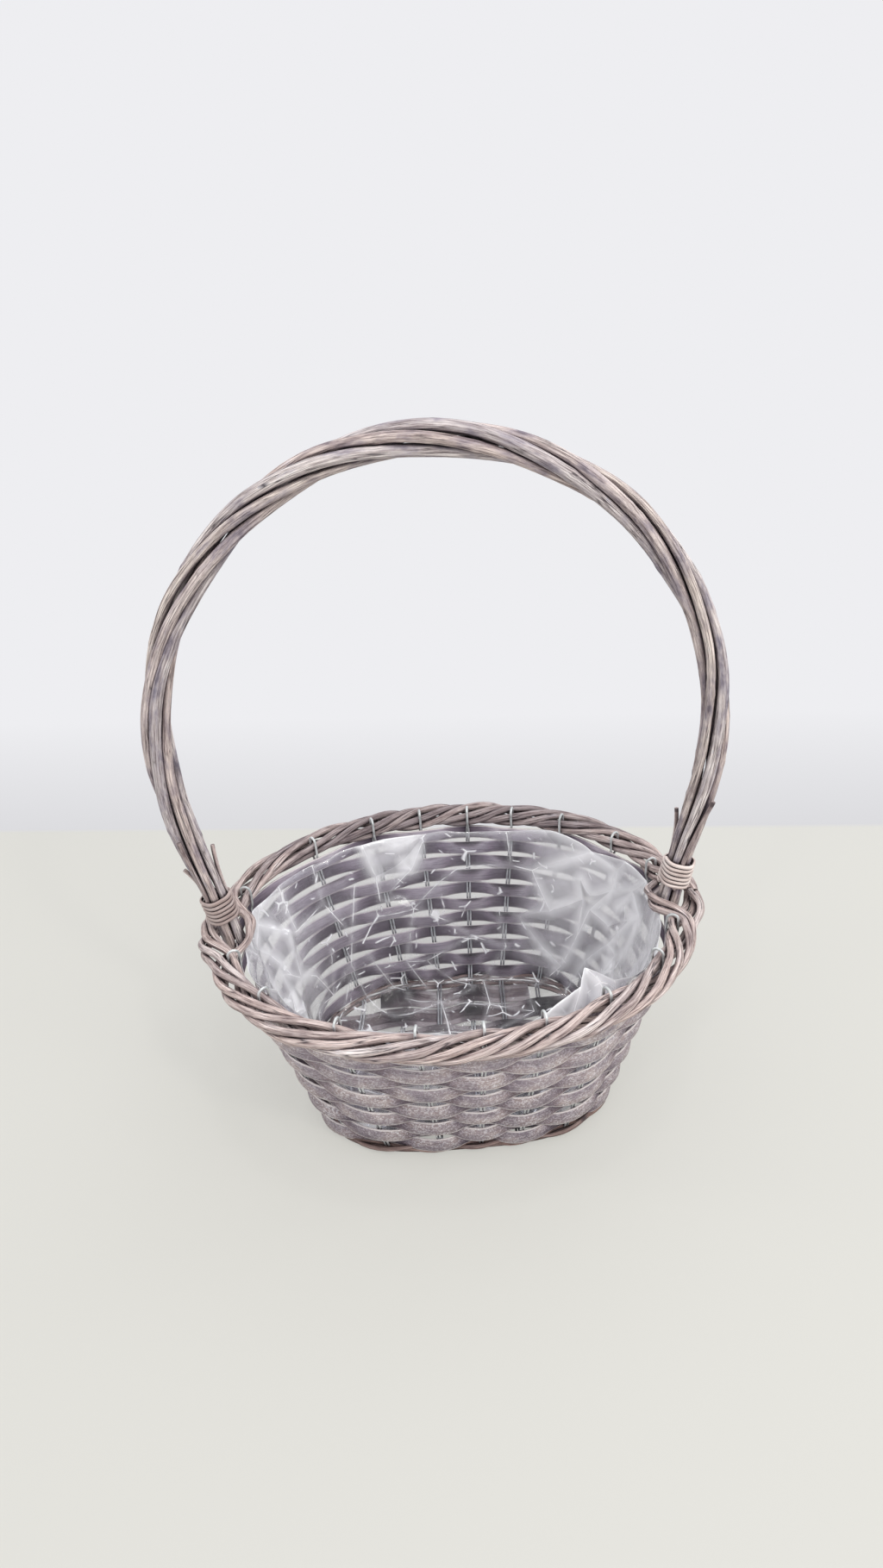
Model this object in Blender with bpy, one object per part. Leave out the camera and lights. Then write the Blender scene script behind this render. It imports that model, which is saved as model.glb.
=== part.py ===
# Oval willow florist basket with a twisted hoop handle and a film liner.
# The long axis and the handle lie along X, the floor is Z = 0, all lengths are metres.
import math

import bmesh
import bpy
from mathutils import Vector

# Frame: an oval rim over a smaller, squarer base
rim_half_length = 0.156
rim_half_width = 0.126
rim_height = 0.138
rim_squareness = 2.1
base_half_length = 0.104
base_half_width = 0.083
base_squareness = 3.1
fit_gap = 0.0003

# Galvanised wire ribs, bent double, two strands side by side
wire_radius = 0.0009
loop_rise = 0.0032
# Where a rib's middle point stands in its bend at the base
corner_share = 0.3
# Places of the 18 ribs round the rim, as shares of a full turn from +X towards +Y
rib_turn_shares = (
    0.043, 0.095, 0.149, 0.192, 0.229, 0.268, 0.308, 0.362, 0.452,
    0.546, 0.604, 0.669, 0.721, 0.763, 0.802, 0.849, 0.908, 0.956,
)
rib_count = len(rib_turn_shares)

# Wall of flat chip strips
strip_count = 11
strip_thickness = 0.001
strip_spacing = 0.0008
strip_clearance = 0.0006

# Border: three strands of two rods, laid round the ribs' loops and the handle's legs
border_rod_radius = 0.0025
border_strands = 3
border_pair_gap = 0.0005
loop_slot_slack = 0.0009
# How far a strand holds its place beside a stop before it moves on, 0 for an even lay
lay_hold_share = 0.35
border_end_gap = 0.0006
border_leg_bulge = 0.006
leg_bulge_reach = 0.032

# Foot: one rod under the ribs, cut flat where it stands, and one outside them
foot_rod_radius = 0.0021
foot_flat_depth = 0.0005

# Base of lengthwise slats
slat_count = 7
slat_thickness = 0.0011
slat_clearance = 0.0006
slat_spacing = 0.0026
slat_end_inset = 0.0075

# Handle: five rods laid up to the right
handle_rods = 5
handle_rod_radius = 0.0040
handle_tip_radius = 0.0027
handle_rod_gap = 0.0008
handle_turns = 2
# How much slower the rods turn at the feet than on average
turn_slowing_share = 0.5
hoop_half_width = 0.171
hoop_top_height = 0.455
hoop_spring_height = 0.272
leg_foot_clearance = 0.0015
leg_slack = 0.0005
leg_lean = math.radians(10)
leg_lower_pull = 0.022
leg_upper_pull = 0.045
tip_blend_length = 0.075

# Pegs beside the legs, under the lashings: grooves they lie in, and how far they stand up
peg_radius = 0.0015
right_peg_grooves = (1, 3)
left_peg_grooves = (0, 2, 4)
peg_rises = (0.052, 0.034, 0.024)
peg_lean = 0.005

# Lashings round the legs, just above the border
lash_radius = 0.0013
lash_turns = 6
lash_gap = 0.0006
lash_lift = 0.0026

# Liner of clear film, with its edge below the rim
film_thickness = 0.0005
liner_edge_drop = 0.0155
liner_wave = 0.002
liner_waves = 7
liner_steps = 42
liner_rows = 3

# Facets
rod_sides = 6
fine_sides = 5
loop_steps = 4
peg_steps = 4
peg_free_steps = 3
lash_points_per_turn = 22
profile_steps = 40
handle_points = 46
# How much closer the handle's points lie at the feet than on average
foot_point_share = 0.12
foot_points = 44
border_steps = 3
border_leg_steps = 5

lay_turn = math.tau / border_strands
half_lay_turn = lay_turn / 2
# Half the turn over which a curve's slope is read
slope_turn = math.radians(0.5)
up = Vector((0, 0, 1))

# Border section: the inner pair, the loop round it, and the outer rods' lay
pair_half_height = border_rod_radius + border_pair_gap / 2
loop_slot = 2 * (wire_radius + fit_gap) + loop_slot_slack
pair_reach = (loop_slot + 2 * border_rod_radius + math.sin(half_lay_turn) * pair_half_height) / (
    1 + math.cos(half_lay_turn)
)
border_reach = math.hypot(pair_reach, pair_half_height)
loop_half_width = border_rod_radius + fit_gap + wire_radius
loop_crest = rim_height + pair_half_height + loop_half_width + loop_rise
border_bottom = rim_height - border_reach - border_rod_radius

# Levels from the floor up
foot_height = foot_rod_radius - foot_flat_depth
rib_base_height = foot_height + foot_rod_radius + fit_gap + wire_radius
slat_wave = wire_radius + slat_clearance + slat_thickness / 2
slat_top = rib_base_height + slat_wave + slat_thickness / 2
keel_height = rib_base_height - slat_wave - slat_thickness / 2 - fit_gap - wire_radius
foot_out_height = rib_base_height
# How far in from the base's edge the rod under the ribs reaches
foot_inner_reach = foot_rod_radius + 2 * wire_radius
strip_bottom = foot_out_height + foot_rod_radius + fit_gap
wall_top_height = border_bottom - fit_gap
strip_pitch = (wall_top_height - strip_bottom) / strip_count
strip_wave = wire_radius + strip_clearance + strip_thickness / 2
wall_half_length = rim_half_length - pair_reach
wall_half_width = rim_half_width - pair_reach

# Handle legs, standing in the border
def lay_radius(rod_radius):
    return (rod_radius + handle_rod_gap / 2) / math.sin(math.pi / handle_rods)


leg_radius = lay_radius(handle_tip_radius) + handle_tip_radius
outer_rods_face = (
    pair_reach * math.cos(half_lay_turn) - pair_half_height * math.sin(half_lay_turn) - border_rod_radius
)
border_half_height = border_reach + border_rod_radius
border_top = rim_height + border_half_height
leg_half_room = leg_radius / math.cos(leg_lean) + fit_gap + leg_slack
leg_outer_room = leg_half_room + border_half_height * math.tan(leg_lean)
leg_inner_room = leg_half_room + 2 * pair_half_height * math.tan(leg_lean)
leg_offset = outer_rods_face + border_leg_bulge - leg_outer_room
leg_half_span = rim_half_length + leg_offset
inner_pair_shift = leg_outer_room + leg_inner_room - loop_slot - border_leg_bulge
leg_foot_height = wall_top_height + leg_foot_clearance
peg_lay_radius = lay_radius(handle_tip_radius) * math.cos(math.pi / handle_rods) + math.sqrt(
    (handle_tip_radius + peg_radius + fit_gap) ** 2 - (handle_tip_radius + handle_rod_gap / 2) ** 2
)
lash_ring_radius = peg_lay_radius + peg_radius + fit_gap + lash_radius
lash_pitch = 2 * lash_radius + lash_gap
lash_start_height = border_top + lash_lift
leg_straight_height = lash_start_height + (lash_turns * lash_pitch + lash_radius) * math.cos(leg_lean)


def clear_scene():
    for obj in list(bpy.data.objects):
        bpy.data.objects.remove(obj, do_unlink=True)


def make_material(name, colour, roughness, metallic=0.0, alpha=1.0):
    material = bpy.data.materials.new(name)
    material.use_nodes = True
    shader = material.node_tree.nodes["Principled BSDF"]
    shader.inputs["Base Color"].default_value = (*colour, 1)
    shader.inputs["Roughness"].default_value = roughness
    shader.inputs["Metallic"].default_value = metallic
    shader.inputs["Alpha"].default_value = alpha
    material.diffuse_color = (*colour, alpha)
    return material


def mesh_object(name, points, faces, material, crease_angle=math.radians(40)):
    mesh = bpy.data.meshes.new(name)
    mesh.from_pydata([tuple(p) for p in points], [], faces)
    shell = bmesh.new()
    shell.from_mesh(mesh)
    bmesh.ops.recalc_face_normals(shell, faces=shell.faces)
    shell.to_mesh(mesh)
    shell.free()
    mesh.materials.append(material)
    mesh.shade_smooth()
    mesh.set_sharp_from_angle(angle=crease_angle)
    obj = bpy.data.objects.new(name, mesh)
    bpy.context.scene.collection.objects.link(obj)
    return obj


def loft(name, rings, material, closed_path, crease_angle=math.radians(40)):
    """Skins a list of rings of points, each ring counter-clockwise seen from the path's end."""
    points = [p for ring in rings for p in ring]
    sides = len(rings[0])
    faces = []
    steps = len(rings) if closed_path else len(rings) - 1
    for i in range(steps):
        a = i * sides
        b = (i + 1) % len(rings) * sides
        for j in range(sides):
            k = (j + 1) % sides
            faces.append((a + j, a + k, b + k, b + j))
    if not closed_path:
        last = (len(rings) - 1) * sides
        faces.append(tuple(reversed(range(sides))))
        faces.append(tuple(last + j for j in range(sides)))
    return mesh_object(name, points, faces, material, crease_angle)


def tube_rings(path, radii, sides, closed_path, end_direction=None):
    """Rings of a round rod along a path, turned as little as the path allows."""
    count = len(path)
    tangents = []
    for i in range(count):
        before = path[i - 1] if closed_path or i > 0 else path[i]
        after = path[(i + 1) % count] if closed_path or i < count - 1 else path[i]
        tangents.append((after - before).normalized())
    if end_direction:
        tangents[0] = tangents[-1] = end_direction
    side = tangents[0].orthogonal().normalized()
    sides_along = []
    for tangent in tangents:
        side = (side - tangent * side.dot(tangent)).normalized()
        sides_along.append(side.copy())
    twist = 0
    if closed_path:
        end = (side - tangents[0] * side.dot(tangents[0])).normalized()
        start = sides_along[0]
        twist = math.atan2(end.cross(start).dot(tangents[0]), end.dot(start))
        twist = (twist + math.pi / sides) % (math.tau / sides) - math.pi / sides
    rings = []
    for i in range(count):
        across = sides_along[i]
        other = tangents[i].cross(across)
        ring = []
        for j in range(sides):
            angle = math.tau * j / sides + twist * i / count
            ring.append(path[i] + radii[i] * (math.cos(angle) * across + math.sin(angle) * other))
        rings.append(ring)
    return rings


def close_loop_offset(rings, sides):
    """Turns the first ring's numbering so that the last ring meets it without a twist."""
    first = rings[0]
    last = rings[-1]
    spans = [
        sum((last[j] - first[(j + k) % sides]).length for j in range(sides)) for k in range(sides)
    ]
    return spans.index(min(spans))


def tube(name, path, radii, sides, material, closed_path=False, end_direction=None):
    rings = tube_rings(path, radii, sides, closed_path, end_direction)
    points = [p for ring in rings for p in ring]
    count = len(rings)
    shift = close_loop_offset(rings, sides) if closed_path else 0
    faces = []
    for i in range(count if closed_path else count - 1):
        a = i * sides
        b = (i + 1) % count * sides
        turn = shift if closed_path and i == count - 1 else 0
        for j in range(sides):
            k = (j + 1) % sides
            faces.append((a + j, a + k, b + (k + turn) % sides, b + (j + turn) % sides))
    if not closed_path:
        faces.append(tuple(reversed(range(sides))))
        faces.append(tuple((count - 1) * sides + j for j in range(sides)))
    return mesh_object(name, points, faces, material, math.radians(80))


def oval(half_length, half_width, squareness, angle):
    """Point of a squared oval, by the angle of its plain ellipse."""
    c = math.cos(angle)
    s = math.sin(angle)
    reach = (abs(c) ** squareness + abs(s) ** squareness) ** (-1 / squareness)
    return Vector((half_length * c * reach, half_width * s * reach, 0))


def oval_normal(half_length, half_width, squareness, angle):
    ahead = oval(half_length, half_width, squareness, angle + slope_turn)
    behind = oval(half_length, half_width, squareness, angle - slope_turn)
    along = (ahead - behind).normalized()
    return Vector((along.y, -along.x, 0))


def wall_point(angle, height):
    """The wall's middle surface: straight lines from the base oval to the rim oval."""
    share = (height - rib_base_height) / (wall_top_height - rib_base_height)
    low = oval(base_half_length, base_half_width, base_squareness, angle)
    high = oval(wall_half_length, wall_half_width, rim_squareness, angle)
    return low.lerp(high, share) + up * height


def wall_frame(angle, height):
    """Outward normal, level tangent and up-slope direction of the wall's middle surface."""
    rise = strip_pitch / 4
    along = wall_point(angle + slope_turn, height) - wall_point(angle - slope_turn, height)
    along.normalize()
    slope = (wall_point(angle, height + rise) - wall_point(angle, height - rise)).normalized()
    out = along.cross(slope).normalized()
    return out, along, slope


def rim_point(angle):
    return oval(rim_half_length, rim_half_width, rim_squareness, angle) + up * rim_height


def rim_normal(angle):
    return oval_normal(rim_half_length, rim_half_width, rim_squareness, angle)


rib_angles = [math.tau * share for share in rib_turn_shares]
# The handle's legs among the border's stops, the right one first and last
leg_stops = (0, rib_count // 2 + 1, rib_count + 2)


def strip_stations():
    """Where a strip bends: on each rib, and half way to the next. Gives angle, rib, share of the wave."""
    stations = []
    for k in range(rib_count):
        here = rib_angles[k]
        ahead = rib_angles[(k + 1) % rib_count] + (math.tau if k == rib_count - 1 else 0)
        stations.append((here, k, 1))
        stations.append(((here + ahead) / 2, k, 0))
    return stations


def wall_strip(row, material):
    """One flat strip, woven over and under the ribs, as a closed band."""
    middle = strip_bottom + (row + 0.5) * strip_pitch
    half_width = (strip_pitch - strip_spacing) / 2
    rings = []
    for angle, rib, on_rib in strip_stations():
        side = 1 if (rib + row) % 2 == 0 else -1
        offset = strip_wave * side * on_rib
        out, _, _ = wall_frame(angle, middle)
        low = wall_point(angle, middle - half_width) + out * offset
        high = wall_point(angle, middle + half_width) + out * offset
        thick = out * (strip_thickness / 2)
        rings.append([low - thick, low + thick, high + thick, high - thick])
    return loft(f"wall_strip_{row + 1}", rings, material, True)


def rib_leg(k, side, lateral, level):
    """Points of one strand of a rib, from the base's run up to the foot of its loop."""
    angle = rib_angles[k]
    corner = wall_point(angle, rib_base_height)
    out, along, _ = wall_frame(angle, strip_bottom)
    if along.dot(lateral) < 0:
        along = -along
    pair_half = wire_radius + fit_gap / 2
    bend = 3 * wire_radius
    inner = corner - bend * Vector((out.x, out.y, 0)).normalized()
    run = inner.copy()
    run.z = rib_base_height
    start = run - 2 * bend * Vector((out.x, out.y, 0)).normalized()
    start.z = level
    points = [start + lateral * pair_half * side]
    points.append(run + along.lerp(lateral, 0.5).normalized() * pair_half * side)
    mid = corner.lerp(inner, corner_share)
    mid.z = rib_base_height + bend * corner_share
    points.append(mid + along * pair_half * side)
    points.append(wall_point(angle, rib_base_height + bend) + along * pair_half * side)
    points.append(wall_point(angle, wall_top_height) + along * pair_half * side)
    return points


def rib_loop(k, first_side):
    """The hairpin over the border's inner pair, in the plane square to the rim."""
    angle = rib_angles[k]
    out = rim_normal(angle)
    centre = rim_point(angle) - out * pair_reach
    low = rim_height - pair_half_height - border_rod_radius
    arc_height = loop_crest - loop_half_width
    points = []
    for turn in range(loop_steps + 1):
        swing = math.pi * turn / loop_steps
        place = centre - out * loop_half_width * math.cos(swing) * first_side
        place.z = arc_height + loop_half_width * math.sin(swing)
        points.append(place)
    foot_in = centre - out * loop_half_width * first_side
    foot_in.z = low
    foot_out = centre + out * loop_half_width * first_side
    foot_out.z = low
    return [foot_in] + points + [foot_out]


def rib(name, first, second, level, material):
    """One wire from rim to rim under the base and back beside itself, closed on itself."""
    ends = [wall_point(rib_angles[k], rib_base_height) for k in (first, second)]
    run = (ends[1] - ends[0]).normalized()
    lateral = up.cross(run)
    path = []
    path += rib_leg(first, 1, lateral, level)
    path += rib_loop(first, 1)
    path += list(reversed(rib_leg(first, -1, lateral, level)))
    path += rib_leg(second, -1, lateral, level)
    path += rib_loop(second, 1)
    path += list(reversed(rib_leg(second, 1, lateral, level)))
    return tube(name, path, [wire_radius] * len(path), 4, material, True)


def make_ribs(material):
    """Crosswise ribs in pairs across the base, and two lengthwise ones below them."""
    for k in range(1, rib_count // 2 - 1):
        rib(f"cross_rib_{k}", k, rib_count - 1 - k, rib_base_height, material)
    last = rib_count // 2 - 1
    rib("long_rib_back", 0, last, keel_height, material)
    rib("long_rib_front", rib_count - 1, last + 1, keel_height, material)


def border_stops():
    """The places that the border's strands pass: leg, ribs, leg, ribs, leg, by angle."""
    half = rib_count // 2
    return [0.0] + rib_angles[:half] + [math.pi] + rib_angles[half:] + [math.tau]


def border_rod_path(strand, member):
    """A rod of the border: inside one stop, outside the next two, with its ends at the right leg."""
    stops = border_stops()
    middles = []
    spreads = []
    for i in range(len(stops) - 1):
        steps = border_leg_steps if i in leg_stops or i + 1 in leg_stops else border_steps
        for step in range(steps + (1 if i == len(stops) - 2 else 0)):
            share = step / steps
            angle = stops[i] + (stops[i + 1] - stops[i]) * share
            held = share * share * (3 - 2 * share)
            eased = share + (held - share) * lay_hold_share
            phase = math.pi + lay_turn * (i + eased - strand)
            middles.append(pair_middle(angle, phase, strand, i + share))
            spreads.append(math.cos(phase) * up - math.sin(phase) * rim_normal(angle))
    path = []
    for i, middle in enumerate(middles):
        along = (middles[min(i + 1, len(middles) - 1)] - middles[max(i - 1, 0)]).normalized()
        spread = (spreads[i] - along * spreads[i].dot(along)).normalized()
        path.append(middle + spread * pair_half_height * member)
    path[0].y = border_end_gap / 2
    path[-1].y = -border_end_gap / 2
    return path


def pair_middle(angle, phase, strand, stop):
    """Middle of a strand's two rods, drawn apart where a leg stands between the strands."""
    here = rim_point(angle)
    across = abs(here.y) if abs(here.x) > rim_half_length / 2 else leg_bulge_reach
    away = (across - leg_half_room) / (leg_bulge_reach - leg_half_room)
    bulge = (1 + math.cos(math.pi * min(max(away, 0), 1))) / 2
    nearest = min(leg_stops, key=lambda leg_stop: abs(leg_stop - stop))
    inside = (nearest - strand) % border_strands == 0
    reach = pair_reach * math.cos(phase)
    reach += bulge * (-inner_pair_shift if inside else border_leg_bulge)
    return here + rim_normal(angle) * reach + up * pair_reach * math.sin(phase)


def make_border(material):
    for strand in range(border_strands):
        for member in (-1, 1):
            path = border_rod_path(strand, member)
            letter = "a" if member < 0 else "b"
            name = f"border_rod_{strand + 1}{letter}"
            along = Vector((0, 1, 0))
            tube(name, path, [border_rod_radius] * len(path), fine_sides, material, False, along)


def make_foot(material):
    """A rod under the ribs' corners, cut flat on the floor, and one outside them."""
    beside = wire_radius + 2 * fit_gap + foot_rod_radius
    foot_ring("foot_rod_under", foot_rod_radius - foot_inner_reach, foot_height, material)
    foot_ring("foot_rod_outer", beside, foot_out_height, material)


def foot_ring(name, offset, height, material):
    rings = []
    for i in range(foot_points):
        turn = math.tau * i / foot_points
        out = oval_normal(base_half_length, base_half_width, base_squareness, turn)
        edge = oval(base_half_length, base_half_width, base_squareness, turn)
        middle = edge + out * offset + up * height
        ring = []
        for j in range(rod_sides):
            angle = math.tau * j / rod_sides
            place = middle + foot_rod_radius * (math.cos(angle) * out + math.sin(angle) * up)
            place.z = max(place.z, 0)
            ring.append(place)
        rings.append(ring)
    loft(name, rings, material, True, math.radians(80))


def base_crossings(y):
    """X of each crosswise rib where it passes under or over a slat at this Y."""
    crossings = []
    for k in range(1, rib_count // 2 - 1):
        back = wall_point(rib_angles[k], rib_base_height)
        front = wall_point(rib_angles[rib_count - 1 - k], rib_base_height)
        if front.y < y < back.y:
            share = (y - front.y) / (back.y - front.y)
            crossings.append(front.x + (back.x - front.x) * share)
    return sorted(crossings)


def slat_half_length(y):
    """Half the slats' oval at this Y, an oval that keeps inside the foot's rod."""
    reach = base_half_width - foot_inner_reach
    share = (1 - (abs(y) / reach) ** base_squareness) ** (1 / base_squareness)
    return (base_half_length - slat_end_inset) * share


def base_slat(row, material):
    pitch = 2 * (base_half_width - slat_end_inset) / slat_count
    y = (row - (slat_count - 1) / 2) * pitch
    half_width = (pitch - slat_spacing) / 2
    half_length = slat_half_length(abs(y) + half_width)
    crossings = [x for x in base_crossings(y) if abs(x) < half_length - slat_end_inset / 2]
    flat = 3 * wire_radius
    stations = [(-half_length, 0)]
    for i, x in enumerate(crossings):
        side = 1 if (i + row) % 2 == 0 else -1
        stations += [(x - flat, side), (x + flat, side)]
    stations[0] = (-half_length, stations[1][1])
    stations.append((half_length, stations[-1][1]))
    rings = []
    for x, side in stations:
        middle = rib_base_height + side * slat_wave
        low = middle - slat_thickness / 2
        high = middle + slat_thickness / 2
        rings.append([
            Vector((x, y - half_width, low)),
            Vector((x, y + half_width, low)),
            Vector((x, y + half_width, high)),
            Vector((x, y - half_width, high)),
        ])
    return loft(f"base_slat_{row + 1}", rings, material, False)


def hoop_profile():
    """The handle's middle line from the left foot over the top to the right foot."""
    leg = []
    lean = Vector((math.sin(leg_lean), 0, math.cos(leg_lean)))
    crossing = Vector((leg_half_span, 0, rim_height))
    foot = crossing + lean * (leg_foot_height - rim_height) / lean.z
    bend = crossing + lean * (leg_straight_height - rim_height) / lean.z
    spring = Vector((hoop_half_width, 0, hoop_spring_height))
    pulls = (bend + lean * leg_lower_pull, spring - up * leg_upper_pull)
    leg.append(foot)
    for i in range(profile_steps + 1):
        t = i / profile_steps
        s = 1 - t
        leg.append(s**3 * bend + 3 * s * s * t * pulls[0] + 3 * s * t * t * pulls[1] + t**3 * spring)
    rise = hoop_top_height - hoop_spring_height
    for i in range(1, profile_steps):
        turn = math.pi / 2 * i / profile_steps
        leg.append(Vector((hoop_half_width * math.cos(turn), 0, hoop_spring_height + rise * math.sin(turn))))
    top = Vector((0, 0, hoop_top_height))
    left = [Vector((-p.x, 0, p.z)) for p in leg]
    return left + [top] + list(reversed(leg))


class Hoop:
    """Reads the handle's middle line by length, with its outward normal."""

    def __init__(self):
        self.points = hoop_profile()
        self.lengths = [0.0]
        for a, b in zip(self.points, self.points[1:]):
            self.lengths.append(self.lengths[-1] + (b - a).length)
        self.length = self.lengths[-1]

    def place(self, length):
        length = min(max(length, 0), self.length)
        i = 1
        while i < len(self.lengths) - 1 and self.lengths[i] < length:
            i += 1
        share = (length - self.lengths[i - 1]) / (self.lengths[i] - self.lengths[i - 1])
        return self.points[i - 1].lerp(self.points[i], share)

    def frame(self, length):
        reach = handle_rod_radius
        tangent = (self.place(length + reach) - self.place(length - reach)).normalized()
        out = Vector((-tangent.z, 0, tangent.x))
        return self.place(length), out, tangent

    def rod_radius(self, length):
        """Rods are thinner towards their tips, at both feet."""
        end = min(length, self.length - length)
        free = end - (leg_straight_height - leg_foot_height) / math.cos(leg_lean)
        share = min(max(free / tip_blend_length, 0), 1)
        share = share * share * (3 - 2 * share)
        return handle_tip_radius + (handle_rod_radius - handle_tip_radius) * share

    def turn(self, length):
        """How far the rods have turned round each other."""
        share = length / self.length
        eased = share - math.sin(math.tau * share) / math.tau * turn_slowing_share
        return math.tau * handle_turns * eased

    def at_height(self, height, right):
        """The length at which a leg passes a height."""
        length = 0.0
        step = lash_radius / 4
        while self.place(length).z < height:
            length += step
        return self.length - length if right else length


def lay_offset(out, radius, angle):
    return radius * (math.cos(angle) * out - math.sin(angle) * Vector((0, 1, 0)))


def handle_lengths(hoop):
    """Stations along the hoop, closer near the feet."""
    stations = []
    for i in range(handle_points):
        share = i / (handle_points - 1)
        share = share - math.sin(math.tau * share) / math.tau * foot_point_share
        stations.append(hoop.length * share)
    return stations


def make_handle(hoop, material):
    for rod in range(handle_rods):
        path = []
        radii = []
        for length in handle_lengths(hoop):
            centre, out, _ = hoop.frame(length)
            radius = hoop.rod_radius(length)
            angle = hoop.turn(length) + math.tau * rod / handle_rods
            path.append(centre + lay_offset(out, lay_radius(radius), angle))
            radii.append(radius)
        tube(f"handle_rod_{rod + 1}", path, radii, rod_sides, material)


def make_pegs(hoop, side_name, grooves, material):
    """Thin rods in the grooves of a leg, under the lashing, their tops leaning out of the grooves."""
    right = side_name == "right"
    away = -1 if right else 1
    foot = hoop.at_height(border_top + peg_radius, right)
    lashed = abs(hoop.at_height(lash_start_height, right) - foot) + lash_turns * lash_pitch
    for i, groove in enumerate(grooves):
        path = []
        places = [lashed * step / peg_steps for step in range(peg_steps)]
        places += [lashed + peg_rises[i] * step / peg_free_steps for step in range(peg_free_steps + 1)]
        for place in places:
            length = foot + away * place
            centre, out, _ = hoop.frame(length)
            # A groove lies half way between one rod and the next
            angle = hoop.turn(length) + math.tau * (2 * groove + 1) / (2 * handle_rods)
            lean = peg_lean * max(place - lashed, 0) / peg_rises[i]
            path.append(centre + lay_offset(out, peg_lay_radius + lean, angle))
        name = f"{side_name}_peg_{i + 1}"
        tube(name, path, [peg_radius] * len(path), fine_sides, material)


def lash_path(hoop, right):
    start = hoop.at_height(lash_start_height, right)
    away = -1 if right else 1
    count = lash_turns * lash_points_per_turn
    path = []
    for i in range(count + 1):
        turned = i / lash_points_per_turn
        centre, out, _ = hoop.frame(start + away * lash_pitch * turned)
        path.append(centre + lay_offset(out, lash_ring_radius, math.tau * turned + math.pi))
    return path


def least_self_gap(path, radius, per_turn):
    """The least gap between a winding's turns, measured on its points."""
    least = path[0].length + path[-1].length
    for i, here in enumerate(path):
        for other in path[i + per_turn // 2 :]:
            least = min(least, (here - other).length - 2 * radius)
    return least


def make_lashing(hoop, side_name, material):
    path = lash_path(hoop, side_name == "right")
    gap = least_self_gap(path, lash_radius, lash_points_per_turn)
    print(f"lashing_{side_name}: {lash_turns} turns, least gap between turns {gap * 1000:.2f} mm")
    tube(f"lashing_{side_name}", path, [lash_radius] * len(path), rod_sides, material)


def liner_ring(height, inset):
    ring = []
    for i in range(liner_steps):
        angle = math.tau * i / liner_steps
        out, _, _ = wall_frame(angle, strip_bottom)
        level = Vector((out.x, out.y, 0)).normalized()
        place = wall_point(angle, height) - level * inset
        ring.append(place)
    return ring


def make_liner(material):
    """A thin bag against the wall and on the slats, open at the top."""
    floor = slat_top + fit_gap
    edge = rim_height - liner_edge_drop
    clear = strip_wave + strip_thickness / 2 + 5 * fit_gap
    shares = [i / liner_rows for i in range(liner_rows + 1)]
    rings = []
    outside = [liner_ring(floor + (edge - floor) * share, clear) for share in shares]
    inside = [
        liner_ring(floor + film_thickness + (edge - floor - film_thickness) * share, clear + film_thickness)
        for share in shares
    ]
    for rim_ring in (outside[-1], inside[-1]):
        for i in range(liner_steps):
            rim_ring[i] = rim_ring[i] + up * liner_wave * math.sin(liner_waves * math.tau * i / liner_steps)
    rings = outside + list(reversed(inside))
    points = [p for ring in rings for p in ring]
    faces = []
    for r in range(len(rings) - 1):
        for j in range(liner_steps):
            k = (j + 1) % liner_steps
            a = r * liner_steps
            b = a + liner_steps
            faces.append((a + j, a + k, b + k, b + j))
    last = (len(rings) - 1) * liner_steps
    faces.append(tuple(reversed(range(liner_steps))))
    faces.append(tuple(last + j for j in range(liner_steps)))
    return mesh_object("film_liner", points, faces, material)


def build():
    clear_scene()
    chip = make_material("washed_poplar_chip", (0.33, 0.28, 0.29), 0.85)
    willow = make_material("washed_willow_rod", (0.42, 0.33, 0.28), 0.75)
    handle_willow = make_material("washed_handle_willow", (0.40, 0.34, 0.31), 0.7)
    cane = make_material("split_cane", (0.62, 0.50, 0.44), 0.6)
    wire = make_material("galvanised_wire", (0.45, 0.48, 0.47), 0.4, metallic=1.0)
    film = make_material("clear_film", (0.85, 0.86, 0.88), 0.1, alpha=0.3)
    for row in range(strip_count):
        wall_strip(row, chip)
    make_ribs(wire)
    make_border(willow)
    make_foot(willow)
    for row in range(slat_count):
        base_slat(row, chip)
    hoop = Hoop()
    make_handle(hoop, handle_willow)
    make_pegs(hoop, "right", right_peg_grooves, willow)
    make_pegs(hoop, "left", left_peg_grooves, willow)
    make_lashing(hoop, "left", cane)
    make_lashing(hoop, "right", cane)
    make_liner(film)


build()
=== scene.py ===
# Oval willow florist basket with a laid hoop handle and a loose clear film liner
import math
import random

import bmesh
import bpy
from mathutils import Matrix, Vector, geometry, kdtree, noise


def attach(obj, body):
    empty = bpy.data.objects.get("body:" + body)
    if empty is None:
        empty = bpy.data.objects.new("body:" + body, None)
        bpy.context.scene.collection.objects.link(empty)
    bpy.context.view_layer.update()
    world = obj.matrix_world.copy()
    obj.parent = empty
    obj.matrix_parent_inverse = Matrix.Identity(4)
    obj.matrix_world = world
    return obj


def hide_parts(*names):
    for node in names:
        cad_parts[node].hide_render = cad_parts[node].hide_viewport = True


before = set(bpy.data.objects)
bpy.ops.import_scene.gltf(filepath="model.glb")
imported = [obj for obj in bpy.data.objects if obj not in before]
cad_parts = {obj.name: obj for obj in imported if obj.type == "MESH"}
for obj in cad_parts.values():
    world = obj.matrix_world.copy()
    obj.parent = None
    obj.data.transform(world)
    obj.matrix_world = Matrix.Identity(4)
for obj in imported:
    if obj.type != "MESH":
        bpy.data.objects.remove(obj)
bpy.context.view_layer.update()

mm = 0.001
up = Vector((0, 0, 1))
oneTurn = 2 * math.pi
hardEdge = math.radians(50)  # rods and bands are shaded sharp above this angle
print("stage: frame loaded")

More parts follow.
